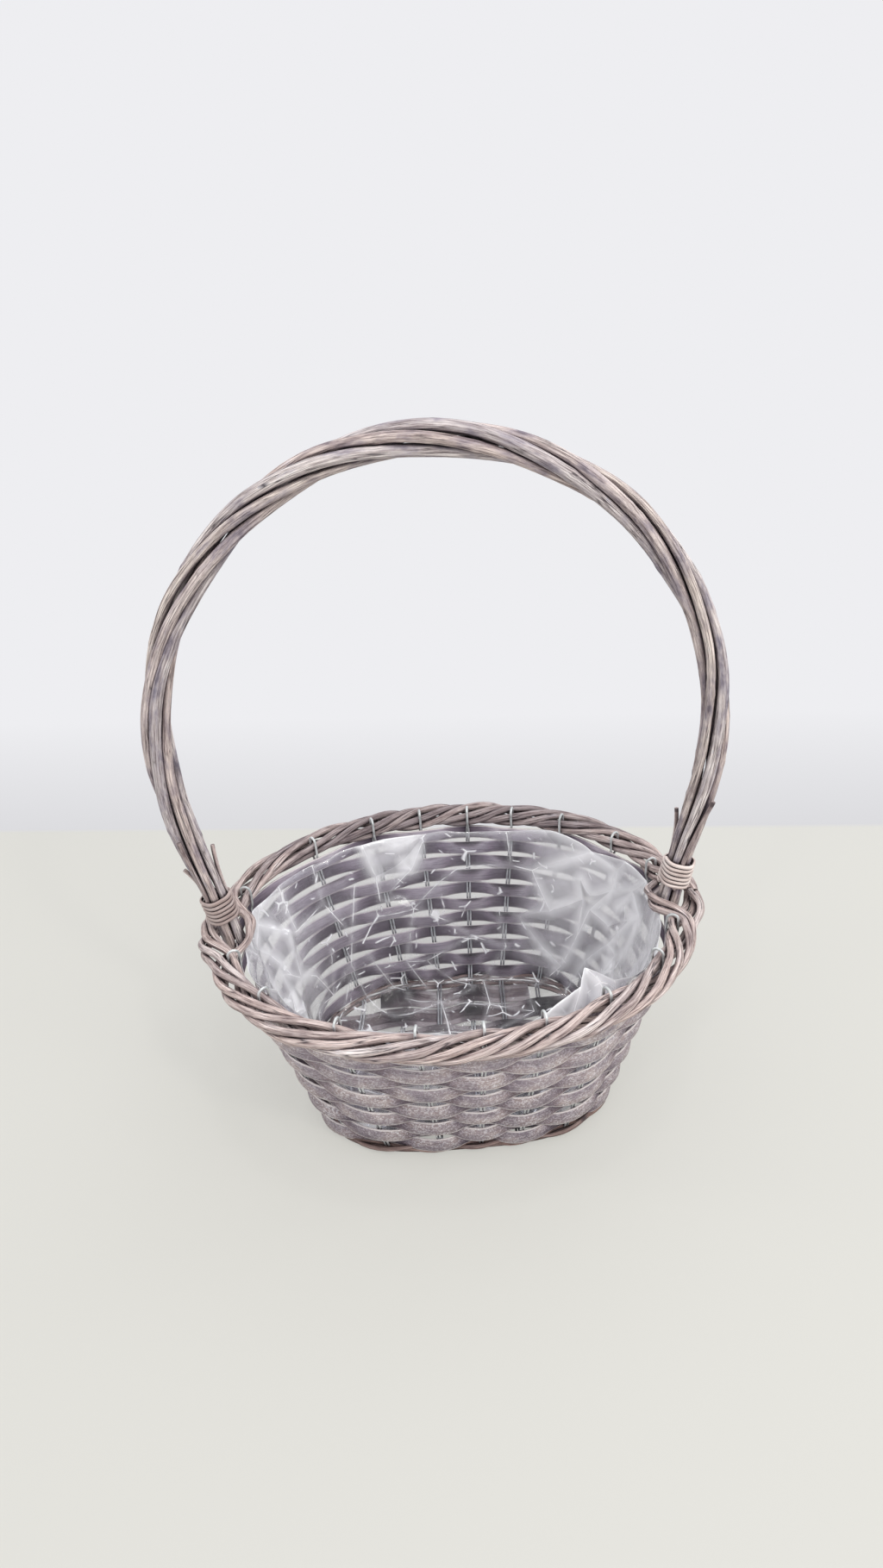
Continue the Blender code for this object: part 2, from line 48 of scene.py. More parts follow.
# Sizes of the oval, the same as in the solids
ovals = {
    "rimLength": 156 * mm, "rimWidth": 126 * mm, "rimHeight": 138 * mm, "rimSquareness": 2.1,
    "baseLength": 104 * mm, "baseWidth": 83 * mm, "baseSquareness": 3.1, "gap": 0.3 * mm,
}
# The woven pieces' settings stand together, because the levels below follow from all of them.
# Each skin gives the sides of a rod, the depth and size of its bark, and the seed of its unevenness.
ribs = {
    "wire": 0.9 * mm, "drawn": 0.74 * mm, "thickening": 8 * mm, "loopRise": 4.2 * mm, "loopSteps": 10,
    "bend": 3, "bendCut": 0.3, "rounds": 2,
    "turns": (0.043, 0.095, 0.149, 0.192, 0.229, 0.268, 0.308, 0.362, 0.452,
              0.546, 0.604, 0.669, 0.721, 0.763, 0.802, 0.849, 0.908, 0.956),
    "skin": {"Sides": 8, "Depth": 0.03 * mm, "Bark Size": 3 * mm, "Seed": 12.0},
}
strips = {
    "count": 11, "thickness": 1.0 * mm, "width": 11.5 * mm, "wave": 3.1 * mm, "lean": math.radians(5),
    "rise": 4.4 * mm, "steps": 9, "waver": 0.5 * mm, "swingPower": 0.8, "seed": 11,
    # The row step darkens the lower rows, painted shade towards the bottom of the wall
    "rowShadeStep": 0.08, "toneSpread": 0.3,
    "skin": {"Corner": 0.25 * mm, "Cup": 0.6 * mm, "Depth": 0.35 * mm, "Seed": 3.0},
}
border = {
    "rod": 2.5 * mm, "strands": 3, "pairGap": 0.5 * mm, "slotSlack": 0.9 * mm, "hold": 0.35,
    "legBulge": 6 * mm, "bulgeReach": 32 * mm, "endGap": 0.6 * mm, "steps": 9, "legSteps": 6,
    "flatness": 0.58, "girth": 0.98, "swell": 0.2, "swellBeat": 22, "wander": 1.1 * mm,
    "wanderSize": 45 * mm, "tones": (0.25, 0.9, 0.4, 0.65, 0.5, 0.3),
    "darkBack": 0.75, "darkFrom": 0.3, "darkGain": 2.5,
    "skin": {"Sides": 14, "Depth": 0.55 * mm, "Bark Size": 5 * mm, "Seed": 6.0},
}
foot = {
    "rod": 2.1 * mm, "flat": 0.5 * mm, "points": 160, "thin": 1.5 * mm, "weave": 2.7 * mm,
    "twine": 1.3 * mm, "twineOut": 0.6 * mm, "twineLift": 0.9 * mm, "twineSteps": 8,
    "skin": {"Sides": 12, "Depth": 0.35 * mm, "Bark Size": 5 * mm, "Seed": 9.0},
}
slats = {
    "count": 7, "thickness": 1.1 * mm, "clear": 0.6 * mm, "spacing": 2.6 * mm, "inset": 7.5 * mm,
    "spread": 1.0 * mm, "longer": 4 * mm, "flat": 3, "steps": 4,
    "skin": {"Corner": 0.3 * mm, "Cup": 0.0, "Depth": 0.25 * mm, "Seed": 5.0},
}
handle = {
    "rods": 5, "radius": 4.0 * mm, "tip": 2.7 * mm, "rodGap": 0.8 * mm, "turns": 2, "slowing": 0.5,
    "halfWidth": 171 * mm, "top": 455 * mm, "spring": 272 * mm, "footClear": 1.5 * mm,
    "slack": 0.5 * mm, "lean": math.radians(10), "lowPull": 22 * mm, "highPull": 45 * mm,
    "blend": 75 * mm, "curveSteps": 40, "points": 440, "seed": 5,
    "squeeze": 0.80, "girths": (0.94, 0.78, 0.90, 0.68, 0.82), "calmEnd": 60 * mm,
    "wander": 1.7 * mm, "wanderSize": 55 * mm, "swell": 0.10, "swellBeat": 28,
    "knots": 7, "knotSize": 2.4 * mm, "knotSwell": 0.09, "knotFree": 80 * mm,
    "tones": (0.15, 0.62, 0.95, 0.35, 0.8),
    "skin": {"Sides": 16, "Depth": 0.75 * mm, "Bark Size": 7 * mm, "Seed": 2.0},
}
pegs = {
    "radius": 1.5 * mm, "right": (1, 3), "left": (0, 2, 4), "rises": (52 * mm, 34 * mm, 24 * mm),
    "lean": 5 * mm, "steps": 28, "butt": 1.05, "taper": 0.15,
    "skin": {"Sides": 12, "Depth": 0.5 * mm, "Bark Size": 4 * mm, "Seed": 4.0},
}
lashing = {
    "radius": 1.3 * mm, "turns": 6, "gap": 0.6 * mm, "lift": 2.6 * mm, "steps": 40,
    "width": 2.65 * mm, "thickness": 1.4 * mm, "waver": 0.5 * mm, "waverBeat": 3, "driftBeat": 2.3,
    "corner": 0.06,
    "skin": {"Corner": 0.4 * mm, "Cup": 0.5 * mm, "Depth": 0.12 * mm, "Seed": 7.0},
}

# Levels and rooms that follow from the sizes
layTurn = oneTurn / border["strands"]
pairHalf = border["rod"] + border["pairGap"] / 2
loopSlot = 2 * (ribs["wire"] + ovals["gap"]) + border["slotSlack"]
pairReach = ((loopSlot + 2 * border["rod"] + math.sin(layTurn / 2) * pairHalf)
             / (1 + math.cos(layTurn / 2)))
borderReach = math.hypot(pairReach, pairHalf)
loopHalf = border["rod"] + ovals["gap"] + ribs["wire"]
loopCrest = ovals["rimHeight"] + pairHalf + loopHalf + ribs["loopRise"]
footHeight = foot["rod"] - foot["flat"]
ribBase = footHeight + foot["rod"] + ovals["gap"] + ribs["wire"]
slatWave = ribs["wire"] + slats["clear"] + slats["thickness"] / 2
keelHeight = ribBase - slatWave - slats["thickness"] / 2 - ovals["gap"] - ribs["wire"]
slatTop = ribBase + slatWave + slats["thickness"] / 2
stripBottom = ribBase + foot["rod"] + ovals["gap"]
wallTop = ovals["rimHeight"] - borderReach - border["rod"] - ovals["gap"]
stripPitch = (wallTop - stripBottom) / strips["count"]
wallLength = ovals["rimLength"] - pairReach
wallWidth = ovals["rimWidth"] - pairReach
ribAngles = [oneTurn * turn for turn in ribs["turns"]]
ribCount = len(ribAngles)
legStops = (0, ribCount // 2 + 1, ribCount + 2)


# How far a handle rod of this radius lies from the middle of the five
def layRadius(radius):
    return (radius + handle["rodGap"] / 2) / math.sin(math.pi / handle["rods"])


legRadius = layRadius(handle["tip"]) + handle["tip"]
borderHalfHeight = borderReach + border["rod"]
borderTop = ovals["rimHeight"] + borderHalfHeight
legHalfRoom = legRadius / math.cos(handle["lean"]) + ovals["gap"] + handle["slack"]
legOuterRoom = legHalfRoom + borderHalfHeight * math.tan(handle["lean"])
legInnerRoom = legHalfRoom + 2 * pairHalf * math.tan(handle["lean"])
legOffset = (pairReach * math.cos(layTurn / 2) - pairHalf * math.sin(layTurn / 2) - border["rod"]
             + border["legBulge"] - legOuterRoom)
legSpan = ovals["rimLength"] + legOffset
innerShift = legOuterRoom + legInnerRoom - loopSlot - border["legBulge"]
legFootHeight = wallTop + handle["footClear"]
pegLay = layRadius(handle["tip"]) * math.cos(math.pi / handle["rods"]) + math.sqrt(
    (handle["tip"] + pegs["radius"] + ovals["gap"]) ** 2 - (handle["tip"] + handle["rodGap"] / 2) ** 2)
lashRing = pegLay + pegs["radius"] + ovals["gap"] + lashing["radius"]
lashPitch = 2 * lashing["radius"] + lashing["gap"]
lashStart = borderTop + lashing["lift"]
legStraight = lashStart + (lashing["turns"] * lashPitch + lashing["radius"]) * math.cos(handle["lean"])


# Colours are written as sRGB hex and turned to linear here
def linear(hexColour):
    channels = []
    for place in (1, 3, 5):
        value = int(hexColour[place:place + 2], 16) / 255
        channels.append(value / 12.92 if value <= 0.04045 else ((value + 0.055) / 1.055) ** 2.4)
    return (*channels, 1)


# Adds a node. A value that is a socket is linked, a property of the node is set, the rest are inputs.
def addNode(tree, kind, values=None):
    node = tree.nodes.new(kind)
    for key, value in (values or {}).items():
        if isinstance(value, bpy.types.NodeSocket):
            tree.links.new(value, node.inputs[key])
        elif isinstance(key, str) and hasattr(node, key):
            setattr(node, key, value)
        else:
            node.inputs[key].default_value = value
    return node


def calculate(tree, operation, *values, clamped=False):
    settings = {"operation": operation, "use_clamp": clamped, **dict(enumerate(values))}
    return addNode(tree, "ShaderNodeMath", settings).outputs[0]


def mixColour(tree, first, second, factor=1, blend="MULTIPLY"):
    settings = {"data_type": "RGBA", "blend_type": blend, "Factor": factor, "A": first, "B": second}
    return addNode(tree, "ShaderNodeMix", settings).outputs["Result"]


def mixShader(tree, factor, first, second):
    return addNode(tree, "ShaderNodeMixShader", {0: factor, 1: first, 2: second}).outputs[0]


def readAttribute(tree, name, output="Fac"):
    return addNode(tree, "ShaderNodeAttribute", {"attribute_name": name}).outputs[output]


def stretch(tree, place, scale):
    return addNode(tree, "ShaderNodeMapping", {"Vector": place, "Scale": scale}).outputs["Vector"]


def noiseAt(tree, place, scale, detail, roughness=0.5):
    return addNode(tree, "ShaderNodeTexNoise", {
        "Vector": stretch(tree, place, scale), "Scale": 1, "Detail": detail,
        "Roughness": roughness}).outputs["Fac"]


# Slides from low to high while the value goes from start to end
def slide(tree, value, start, end, low=0.0, high=1.0):
    return addNode(tree, "ShaderNodeMapRange", {
        "Value": value, "From Min": start, "From Max": end, "To Min": low, "To Max": high}).outputs["Result"]


# Stops are a place with a colour, or with a plain number for a mask
def ramp(tree, factor, stops):
    node = addNode(tree, "ShaderNodeValToRGB", {"Fac": factor})
    while len(node.color_ramp.elements) < len(stops):
        node.color_ramp.elements.new(0.5)
    for element, (place, colour) in zip(node.color_ramp.elements, stops):
        element.position = place
        element.color = linear(colour) if isinstance(colour, str) else (colour, colour, colour, 1)
    return node.outputs["Color"]


def bumpNormal(tree, height, strength, depth):
    return addNode(tree, "ShaderNodeBump", {
        "Strength": strength, "Distance": depth, "Height": height}).outputs["Normal"]


def newMaterial(name):
    material = bpy.data.materials.new(name)
    material.use_nodes = True
    material.node_tree.nodes.clear()
    return material, material.node_tree


# Ends a solid material, with painted shade darkening the grooves between rods, strips and windings
def finishSolid(tree, colour, grooveShade, normal, values):
    shelter = addNode(tree, "ShaderNodeAmbientOcclusion", {"samples": 6, "Distance": 5 * mm})
    # Painted shade: the colour is darkened wherever the ambient occlusion finds grooves and recesses
    grooves = ramp(tree, shelter.outputs["AO"], ((0.20, grooveShade), (0.48, "#a39aa0"), (0.80, "#ffffff")))
    shader = addNode(tree, "ShaderNodeBsdfPrincipled", {
        "Base Color": mixColour(tree, colour, grooves), "Normal": normal, **values})
    addNode(tree, "ShaderNodeOutputMaterial", {"Surface": shader.outputs["BSDF"]})


# Washed willow rod: bark left on or stripped, rubbed with thin white paint that stays in the grain.
# The eye sees long beige and grey streaks, chalky patches, fine dark checks along the rod and black buds.
def willowMaterial(name, look):
    material, tree = newMaterial(name)
    place = readAttribute(tree, "rodPlace", "Vector")
    # Streaks about 1.1 mm wide and 20 mm long
    grain = noiseAt(tree, place, (900, 900, 50), 7, 0.68)
    # Patches about 15 mm long where the paint stayed or the bark shows
    patch = noiseAt(tree, place, (170, 170, 55), 4, 0.6)
    streaked = mixColour(tree, ramp(tree, patch, look["patches"]), ramp(tree, grain, look["streaks"]),
                         look["streakShare"])
    # One rod is paler or pinker than the next
    tinted = mixColour(tree, streaked, ramp(tree, readAttribute(tree, "tone"), look["tints"]))
    # Dark checks about 0.25 mm wide that run along the rod
    check = addNode(tree, "ShaderNodeTexVoronoi", {
        "feature": "DISTANCE_TO_EDGE", "Scale": 1, "Vector": stretch(tree, place, (620, 620, 26))})
    checkLine = ramp(tree, check.outputs["Distance"], ((0.0, 0.0), (look["checkWidth"], 1.0)))
    checkMask = ramp(tree, patch, ((0.46, 0.0), (0.60, look["checkShare"])))
    checked = calculate(tree, "MULTIPLY", calculate(tree, "SUBTRACT", 1.0, checkLine), checkMask)
    darkened = mixColour(tree, tinted, linear(look["check"]), checked, "MIX")
    # Buds and bruises, spots of 2 to 4 mm set far apart
    bud = addNode(tree, "ShaderNodeTexVoronoi", {"Scale": 1, "Vector": stretch(tree, place, (150, 150, 62))})
    budSpot = ramp(tree, bud.outputs["Distance"], ((0.10, 1.0), (0.24, 0.0)))
    budChance = addNode(tree, "ShaderNodeSeparateColor", {"Color": bud.outputs["Color"]}).outputs[0]
    budOn = calculate(tree, "MULTIPLY", budSpot, calculate(tree, "LESS_THAN", budChance, look["budShare"]))
    # Knots and cut ends are dark and rough
    across = addNode(tree, "ShaderNodeSeparateXYZ", {"Vector": place}).outputs["X"]
    knotSide = calculate(tree, "MULTIPLY", readAttribute(tree, "knot"),
                         slide(tree, across, -1.5 * mm, 1.0 * mm))
    knotMask = ramp(tree, calculate(tree, "MULTIPLY", knotSide, grain), ((0.20, 0.0), (0.46, 0.9)))
    spots = calculate(tree, "MAXIMUM", budOn, knotMask)
    spotted = mixColour(tree, darkened, linear(look["bud"]), spots, "MIX")
    height = calculate(tree, "MULTIPLY_ADD", checkLine, 0.6, grain)
    finishSolid(tree, spotted, look["grooveShade"], bumpNormal(tree, height, 0.55, 0.35 * mm), {
        "Specular IOR Level": 0.35, "Roughness": ramp(tree, grain, ((0.3, 0.62), (0.7, 0.85)))})
    return material


# Washed poplar chip: a shaved ribbon of wood, furry from the blade and dabbed with white paint.
# The eye sees a chalky speckle on the outer face, paler edges, and a plain dark mauve-grey inner face.
def chipMaterial(name, look):
    material, tree = newMaterial(name)
    place = readAttribute(tree, "bandPlace", "Vector")
    parts = addNode(tree, "ShaderNodeSeparateXYZ", {"Vector": place}).outputs
    # 1 on the outer face and 0 on the inner one
    face = ramp(tree, calculate(tree, "MULTIPLY_ADD", parts["X"], 600, 0.5), ((0.35, 0.0), (0.75, 1.0)))
    # Grain of 0.5 mm by 10 mm along the ribbon
    grain = noiseAt(tree, place, (900, 1900, 95), 5, 0.6)
    cloud = noiseAt(tree, place, (60, 60, 34), 4, 0.55)
    # Paint grains of about 1 mm
    dab = noiseAt(tree, place, (1000, 1000, 800), 3, 0.7)
    # Painted light: the inner face is given paler colours than the outer, to brighten the inside of the basket
    sided = mixColour(tree, ramp(tree, cloud, look["inner"]), ramp(tree, cloud, look["outer"]), face, "MIX")
    grained = mixColour(tree, sided, ramp(tree, grain, ((0.32, "#8b8688"), (0.56, "#ffffff"))), 0.6)
    tinted = mixColour(tree, grained, ramp(tree, readAttribute(tree, "tone"), look["tints"]))
    dabOn = calculate(tree, "MULTIPLY", ramp(tree, dab, ((0.49, 0.0), (0.60, 1.0))),
                      ramp(tree, cloud, ((0.35, 0.25), (0.62, 0.9))))
    dabShare = calculate(tree, "MULTIPLY", calculate(tree, "MULTIPLY", dabOn, face), look["dabShare"])
    painted = mixColour(tree, tinted, linear(look["paint"]), dabShare, "MIX")
    # Painted light and shade: the proud bends are painted paler and the ones behind the ribs darker
    outward = calculate(tree, "MULTIPLY_ADD", face, 2, -1)
    bend = calculate(tree, "MULTIPLY", readAttribute(tree, "proud"), outward)
    bendShadeShare = calculate(tree, "MULTIPLY_ADD", bend, 0.5, 0.5)
    bendShaded = mixColour(tree, painted, ramp(tree, bendShadeShare, look["bends"]))
    # Both cut edges are painted paler, partly a painted highlight for the light they catch and partly the
    # paint they keep
    edgeReach = calculate(tree, "MULTIPLY", calculate(tree, "ABSOLUTE", parts["Y"]), 174)
    edge = ramp(tree, edgeReach, ((0.80, 0.0), (0.94, look["edgeHighlightShare"])))
    edgeHighlighted = mixColour(tree, bendShaded, linear(look["edge"]), edge, "MIX")
    height = calculate(tree, "ADD", dab, grain)
    finishSolid(tree, edgeHighlighted, look["grooveShade"], bumpNormal(tree, height, 0.7, 0.4 * mm), {
        "Specular IOR Level": 0.25, "Roughness": 0.9})
    return material


# Split cane: the pale half of a thin rod, wound wet and dried hard; smooth skin with faint long fibres.
def caneMaterial():
    material, tree = newMaterial("splitCane")
    place = readAttribute(tree, "bandPlace", "Vector")
    fibre = noiseAt(tree, place, (1200, 2600, 70), 5, 0.6)
    cloud = noiseAt(tree, place, (120, 120, 60), 3)
    base = ramp(tree, cloud, ((0.35, "#d0beb7"), (0.5, "#e8d9d2"), (0.66, "#f6ece7")))
    streaked = mixColour(tree, base, ramp(tree, fibre, ((0.32, "#95847f"), (0.52, "#ffffff"))), 0.55)
    tone = readAttribute(tree, "tone")
    tinted = mixColour(tree, streaked, ramp(tree, tone, ((0.0, "#b9b0b0"), (1.0, "#ffffff"))))
    # The dark colour is the painted shade in the grooves between windings
    finishSolid(tree, tinted, "#2c242a", bumpNormal(tree, fibre, 0.5, 0.2 * mm), {
        "Specular IOR Level": 0.4, "Roughness": 0.55})
    return material


# Galvanised wire: zinc dipped, dull and slightly uneven, with a soft white bloom in places.
def wireMaterial():
    material, tree = newMaterial("galvanisedWire")
    bloom = noiseAt(tree, readAttribute(tree, "rodPlace", "Vector"), (700, 700, 240), 4, 0.6)
    colour = ramp(tree, bloom, ((0.35, "#a9adad"), (0.55, "#d3d6d6"), (0.7, "#f4f5f5")))
    # The dark colour is the painted shade in the grooves
    finishSolid(tree, colour, "#6a666c", bumpNormal(tree, bloom, 0.25, 0.08 * mm), {
        "Metallic": 0.4, "Roughness": ramp(tree, bloom, ((0.3, 0.34), (0.7, 0.62)))})
    return material


# Clear polypropylene film: crisp and glossy, seen through, whitened where it has been packed into folds.
# The eye sees panels that catch the room one by one, milky bunches, and hair-thin white fold lines; much of
# that white is painted reflection and painted highlight in a white diffuse veil.
def filmMaterial():
    material, tree = newMaterial("clearFilm")
    fold = readAttribute(tree, "fold")
    at = addNode(tree, "ShaderNodeTexCoord").outputs["Object"]
    # Fold lines, whitened creases with painted highlights along them, come and go every 15 mm or so
    fade = addNode(tree, "ShaderNodeTexNoise", {"Scale": 65, "Detail": 2, "Vector": at}).outputs["Fac"]
    line = slide(tree, fold, 0.10 * mm, 0.50 * mm, 1.0, 0.0)
    halo = slide(tree, fold, 0.0, 4 * mm, 0.10, 0.0)
    foldLine = calculate(tree, "MULTIPLY_ADD", line, ramp(tree, fade, ((0.45, 0.0), (0.60, 0.8))), halo)
    # Painted glints: short white strokes 5 to 20 mm long, scattered in fragments over the film
    bent = addNode(tree, "ShaderNodeTexNoise", {"Scale": 30, "Detail": 1, "Vector": at}).outputs["Color"]
    nudge = addNode(tree, "ShaderNodeVectorMath", {
        "operation": "MULTIPLY_ADD", 0: bent, 1: (0.02, 0.02, 0.02), 2: at}).outputs[0]
    glintStroke = addNode(tree, "ShaderNodeTexVoronoi", {
        "feature": "DISTANCE_TO_EDGE", "Scale": 42, "Vector": nudge}).outputs["Distance"]
    glintWhere = addNode(tree, "ShaderNodeTexNoise", {"Scale": 85, "Detail": 1, "Vector": nudge}).outputs["Fac"]
    glintShown = ramp(tree, glintWhere, ((0.57, 0.0), (0.64, 1.0)))
    lined = calculate(tree, "MULTIPLY_ADD", slide(tree, glintStroke, 0.010, 0.032, 0.95, 0.0), glintShown, foldLine)
    # Crinkles about 7 mm across with sharp ridges, pressed in by handling
    crinkle = addNode(tree, "ShaderNodeTexVoronoi", {
        "feature": "DISTANCE_TO_EDGE", "Scale": 130, "Vector": at}).outputs["Distance"]
    ripple = addNode(tree, "ShaderNodeTexNoise", {"Scale": 160, "Detail": 3, "Vector": at}).outputs["Fac"]
    height = calculate(tree, "MULTIPLY_ADD", crinkle, 0.45, ripple)
    normal = bumpNormal(tree, height, 0.4, 0.8 * mm)
    # Each panel has its own whiteness, a painted reflection of the room caught panel by panel, greatest beside
    # its folds and less towards its middle
    own = slide(tree, readAttribute(tree, "panel"), 0, 1, 0.72, 1.28)
    whitening = calculate(tree, "MULTIPLY", own, slide(tree, fold, 0.0, 8 * mm, 1.34, 0.58))
    # The white veil is partly painted: reflection of the room, highlights along folds, and glints
    veil = calculate(tree, "MULTIPLY_ADD", readAttribute(tree, "milk"), whitening, lined, clamped=True)
    white = addNode(tree, "ShaderNodeBsdfDiffuse", {"Color": linear("#fdfdff")}).outputs[0]
    through = addNode(tree, "ShaderNodeBsdfTranslucent", {"Color": linear("#fbfbfd")}).outputs[0]
    clear = addNode(tree, "ShaderNodeBsdfTransparent", {"Color": linear("#fbfbfd")}).outputs[0]
    body = mixShader(tree, veil, clear, mixShader(tree, 0.25, white, through))
    gloss = addNode(tree, "ShaderNodeBsdfGlossy", {
        "Color": linear("#ffffff"), "Roughness": 0.07, "Normal": normal}).outputs[0]
    # Only the face turned to the viewer mirrors the room, for both skins of the film
    fresnel = addNode(tree, "ShaderNodeFresnel", {"IOR": 1.5, "Normal": normal}).outputs["Fac"]
    behind = addNode(tree, "ShaderNodeNewGeometry").outputs["Backfacing"]
    mirror = calculate(tree, "MULTIPLY", fresnel, slide(tree, behind, 0, 1, 1.9, 0.0), clamped=True)
    addNode(tree, "ShaderNodeOutputMaterial", {"Surface": mixShader(tree, mirror, body, gloss)})
    return material


# The last colour of each look is the painted shade laid in its grooves
willowLook = {
    "patches": ((0.30, "#8a8592"), (0.40, "#b3acb3"), (0.52, "#dad2d1"), (0.63, "#f0e9e6"), (0.76, "#cfcfdc")),
    "streaks": ((0.34, "#675d61"), (0.45, "#d0caca"), (0.56, "#ffffff")), "streakShare": 0.9,
    "tints": ((0.0, "#e2e2ea"), (0.35, "#fffaf4"), (0.7, "#f4eae6"), (1.0, "#ffffff")),
    "check": "#3c343a", "checkWidth": 0.10, "checkShare": 0.95,
    "bud": "#38323b", "budShare": 0.16, "grooveShade": "#2b262c",
}
borderLook = {
    "patches": ((0.30, "#a69c9e"), (0.42, "#cdc4c3"), (0.54, "#e7dedb"), (0.64, "#f5efee"), (0.76, "#e7e6ec")),
    "streaks": ((0.34, "#6d6165"), (0.45, "#d2cac9"), (0.55, "#ffffff")), "streakShare": 0.9,
    "tints": ((0.0, "#9a949a"), (0.3, "#f0e8e5"), (0.7, "#f8ede8"), (1.0, "#ffffff")),
    "check": "#3f3539", "checkWidth": 0.12, "checkShare": 0.95,
    "bud": "#4a4044", "budShare": 0.12, "grooveShade": "#3c353a",
}
footLook = dict(borderLook, patches=(
    (0.30, "#857672"), (0.48, "#a8958f"), (0.6, "#bba9a3"), (0.76, "#bfb8b6")))
chipLook = {
    "outer": ((0.32, "#958d97"), (0.46, "#aea5aa"), (0.60, "#c4b8b5"), (0.74, "#bdbac4")),
    # The inner colours are painted light, paler than the wood, to brighten the inside of the basket
    "inner": ((0.32, "#bbb5c1"), (0.50, "#ccc6d0"), (0.70, "#d8d4dc")),
    "tints": ((0.0, "#bdb7bf"), (0.45, "#ebe4e4"), (1.0, "#fdf9fa")),
    # bends runs from painted shade behind the ribs to painted light on the proud bends
    "bends": ((0.0, "#968f98"), (0.45, "#d8d3d9"), (0.8, "#ffffff")),
    # edge is partly a painted highlight on the cut edges
    "paint": "#f2f0f4", "dabShare": 0.75, "edge": "#efe8e5", "edgeHighlightShare": 0.75, "grooveShade": "#2a252d",
}
slatLook = dict(chipLook, dabShare=0.12, edgeHighlightShare=0.3, outer=(
    (0.32, "#5b5256"), (0.46, "#716668"), (0.60, "#837775"), (0.74, "#7e777c")))
handleWillow = willowMaterial("washedHandleWillow", willowLook)
borderWillow = willowMaterial("washedBorderWillow", borderLook)
footWillow = willowMaterial("barkOnWillow", footLook)
washedChip = chipMaterial("washedPoplarChip", chipLook)
bareChip = chipMaterial("barePoplarSlat", slatLook)
splitCane = caneMaterial()
galvanisedWire = wireMaterial()
clearFilm = filmMaterial()
print("stage: materials made")


def clamp(value, low=0, high=1):
    return min(max(value, low), high)


def smoothShare(share):
    return share * share * (3 - 2 * share)


def waveShare(share):
    return (1 - math.cos(math.pi * share)) / 2


# The oval and the wall, as the solids have them
def ovalPoint(halfLength, halfWidth, squareness, angle):
    c = math.cos(angle)
    s = math.sin(angle)
    reach = (abs(c) ** squareness + abs(s) ** squareness) ** (-1 / squareness)
    return Vector((halfLength * c * reach, halfWidth * s * reach, 0))


def ovalNormal(halfLength, halfWidth, squareness, angle):
    step = math.radians(0.5)
    along = (ovalPoint(halfLength, halfWidth, squareness, angle + step)
             - ovalPoint(halfLength, halfWidth, squareness, angle - step)).normalized()
    return Vector((along.y, -along.x, 0))


def basePoint(angle):
    return ovalPoint(ovals["baseLength"], ovals["baseWidth"], ovals["baseSquareness"], angle)


def baseNormal(angle):
    return ovalNormal(ovals["baseLength"], ovals["baseWidth"], ovals["baseSquareness"], angle)


def rimPoint(angle):
    edge = ovalPoint(ovals["rimLength"], ovals["rimWidth"], ovals["rimSquareness"], angle)
    return edge + up * ovals["rimHeight"]


def rimNormal(angle):
    return ovalNormal(ovals["rimLength"], ovals["rimWidth"], ovals["rimSquareness"], angle)


def wallPoint(angle, height):
    share = (height - ribBase) / (wallTop - ribBase)
    high = ovalPoint(wallLength, wallWidth, ovals["rimSquareness"], angle)
    return basePoint(angle).lerp(high, share) + up * height


def wallFrame(angle, height):
    step = math.radians(0.5)
    along = (wallPoint(angle + step, height) - wallPoint(angle - step, height)).normalized()
    slope = (wallPoint(angle, height + stripPitch / 4)
             - wallPoint(angle, height - stripPitch / 4)).normalized()
    return along.cross(slope).normalized(), along, slope


def levelled(direction):
    return Vector((direction.x, direction.y, 0)).normalized()


# The angle of the next rib round the wall, past a full turn after the last one
def nextAngle(k):
    return ribAngles[(k + 1) % ribCount] + (oneTurn if k == ribCount - 1 else 0)


def addObject(name, data):
    piece = bpy.data.objects.new(name, data)
    bpy.context.scene.collection.objects.link(piece)
    return piece


# A mesh of bare paths, each with its own values at every point. Tone picks a tint, offset slides the grain.
def pathMesh(name, paths):
    points = []
    edges = []
    outward = []
    usual = {"girth": 1.0, "tone": 0.5, "offset": 0.0, "proud": 1.0, "knot": 0.0}
    values = {key: [] for key in usual}
    for path in paths:
        first = len(points)
        count = len(path["points"])
        points += [tuple(p) for p in path["points"]]
        edges += [(first + i, first + i + 1) for i in range(count - 1)]
        if path.get("closed"):
            edges.append((first + count - 1, first))
        for key in usual:
            value = path.get(key, usual[key])
            values[key] += value if isinstance(value, list) else [value] * count
        outward += [part for direction in path.get("outward", [up] * count) for part in direction]
    mesh = bpy.data.meshes.new(name)
    mesh.from_pydata(points, edges, [])
    for key in usual:
        mesh.attributes.new(key, "FLOAT", "POINT").data.foreach_set("value", values[key])
    mesh.attributes.new("outward", "FLOAT_VECTOR", "POINT").data.foreach_set("vector", outward)
    return addObject(name, mesh)


def namedValue(tree, name, kind="FLOAT"):
    settings = {"data_type": kind, "Name": name}
    return addNode(tree, "GeometryNodeInputNamedAttribute", settings).outputs["Attribute"]


def vectorMath(tree, operation, values):
    return addNode(tree, "ShaderNodeVectorMath", {"operation": operation, **values}).outputs[0]


# Keeps a value with the shape, to be read again after the sweep
def capture(tree, shape, kind, label, value):
    node = addNode(tree, "GeometryNodeCaptureAttribute", {"domain": "POINT", "Geometry": shape})
    node.capture_items.new(kind, label)
    tree.links.new(value, node.inputs[label])
    return node.outputs["Geometry"], node.outputs[label]


# Starts a tree that turns a mesh of bare paths into curves
def startTree(name, labels):
    tree = bpy.data.node_groups.new(name, "GeometryNodeTree")
    kinds = {"Geometry": "Geometry", "Sides": "Int", "Finish": "Material"}
    for label in ("Geometry", *labels, "Depth", "Seed", "Finish"):
        tree.interface.new_socket(label, in_out="INPUT", socket_type="NodeSocket" + kinds.get(label, "Float"))
    tree.interface.new_socket("Geometry", in_out="OUTPUT", socket_type="NodeSocketGeometry")
    source = addNode(tree, "NodeGroupInput").outputs
    return tree, source, addNode(tree, "GeometryNodeMeshToCurve", {"Mesh": source["Geometry"]}).outputs[0]


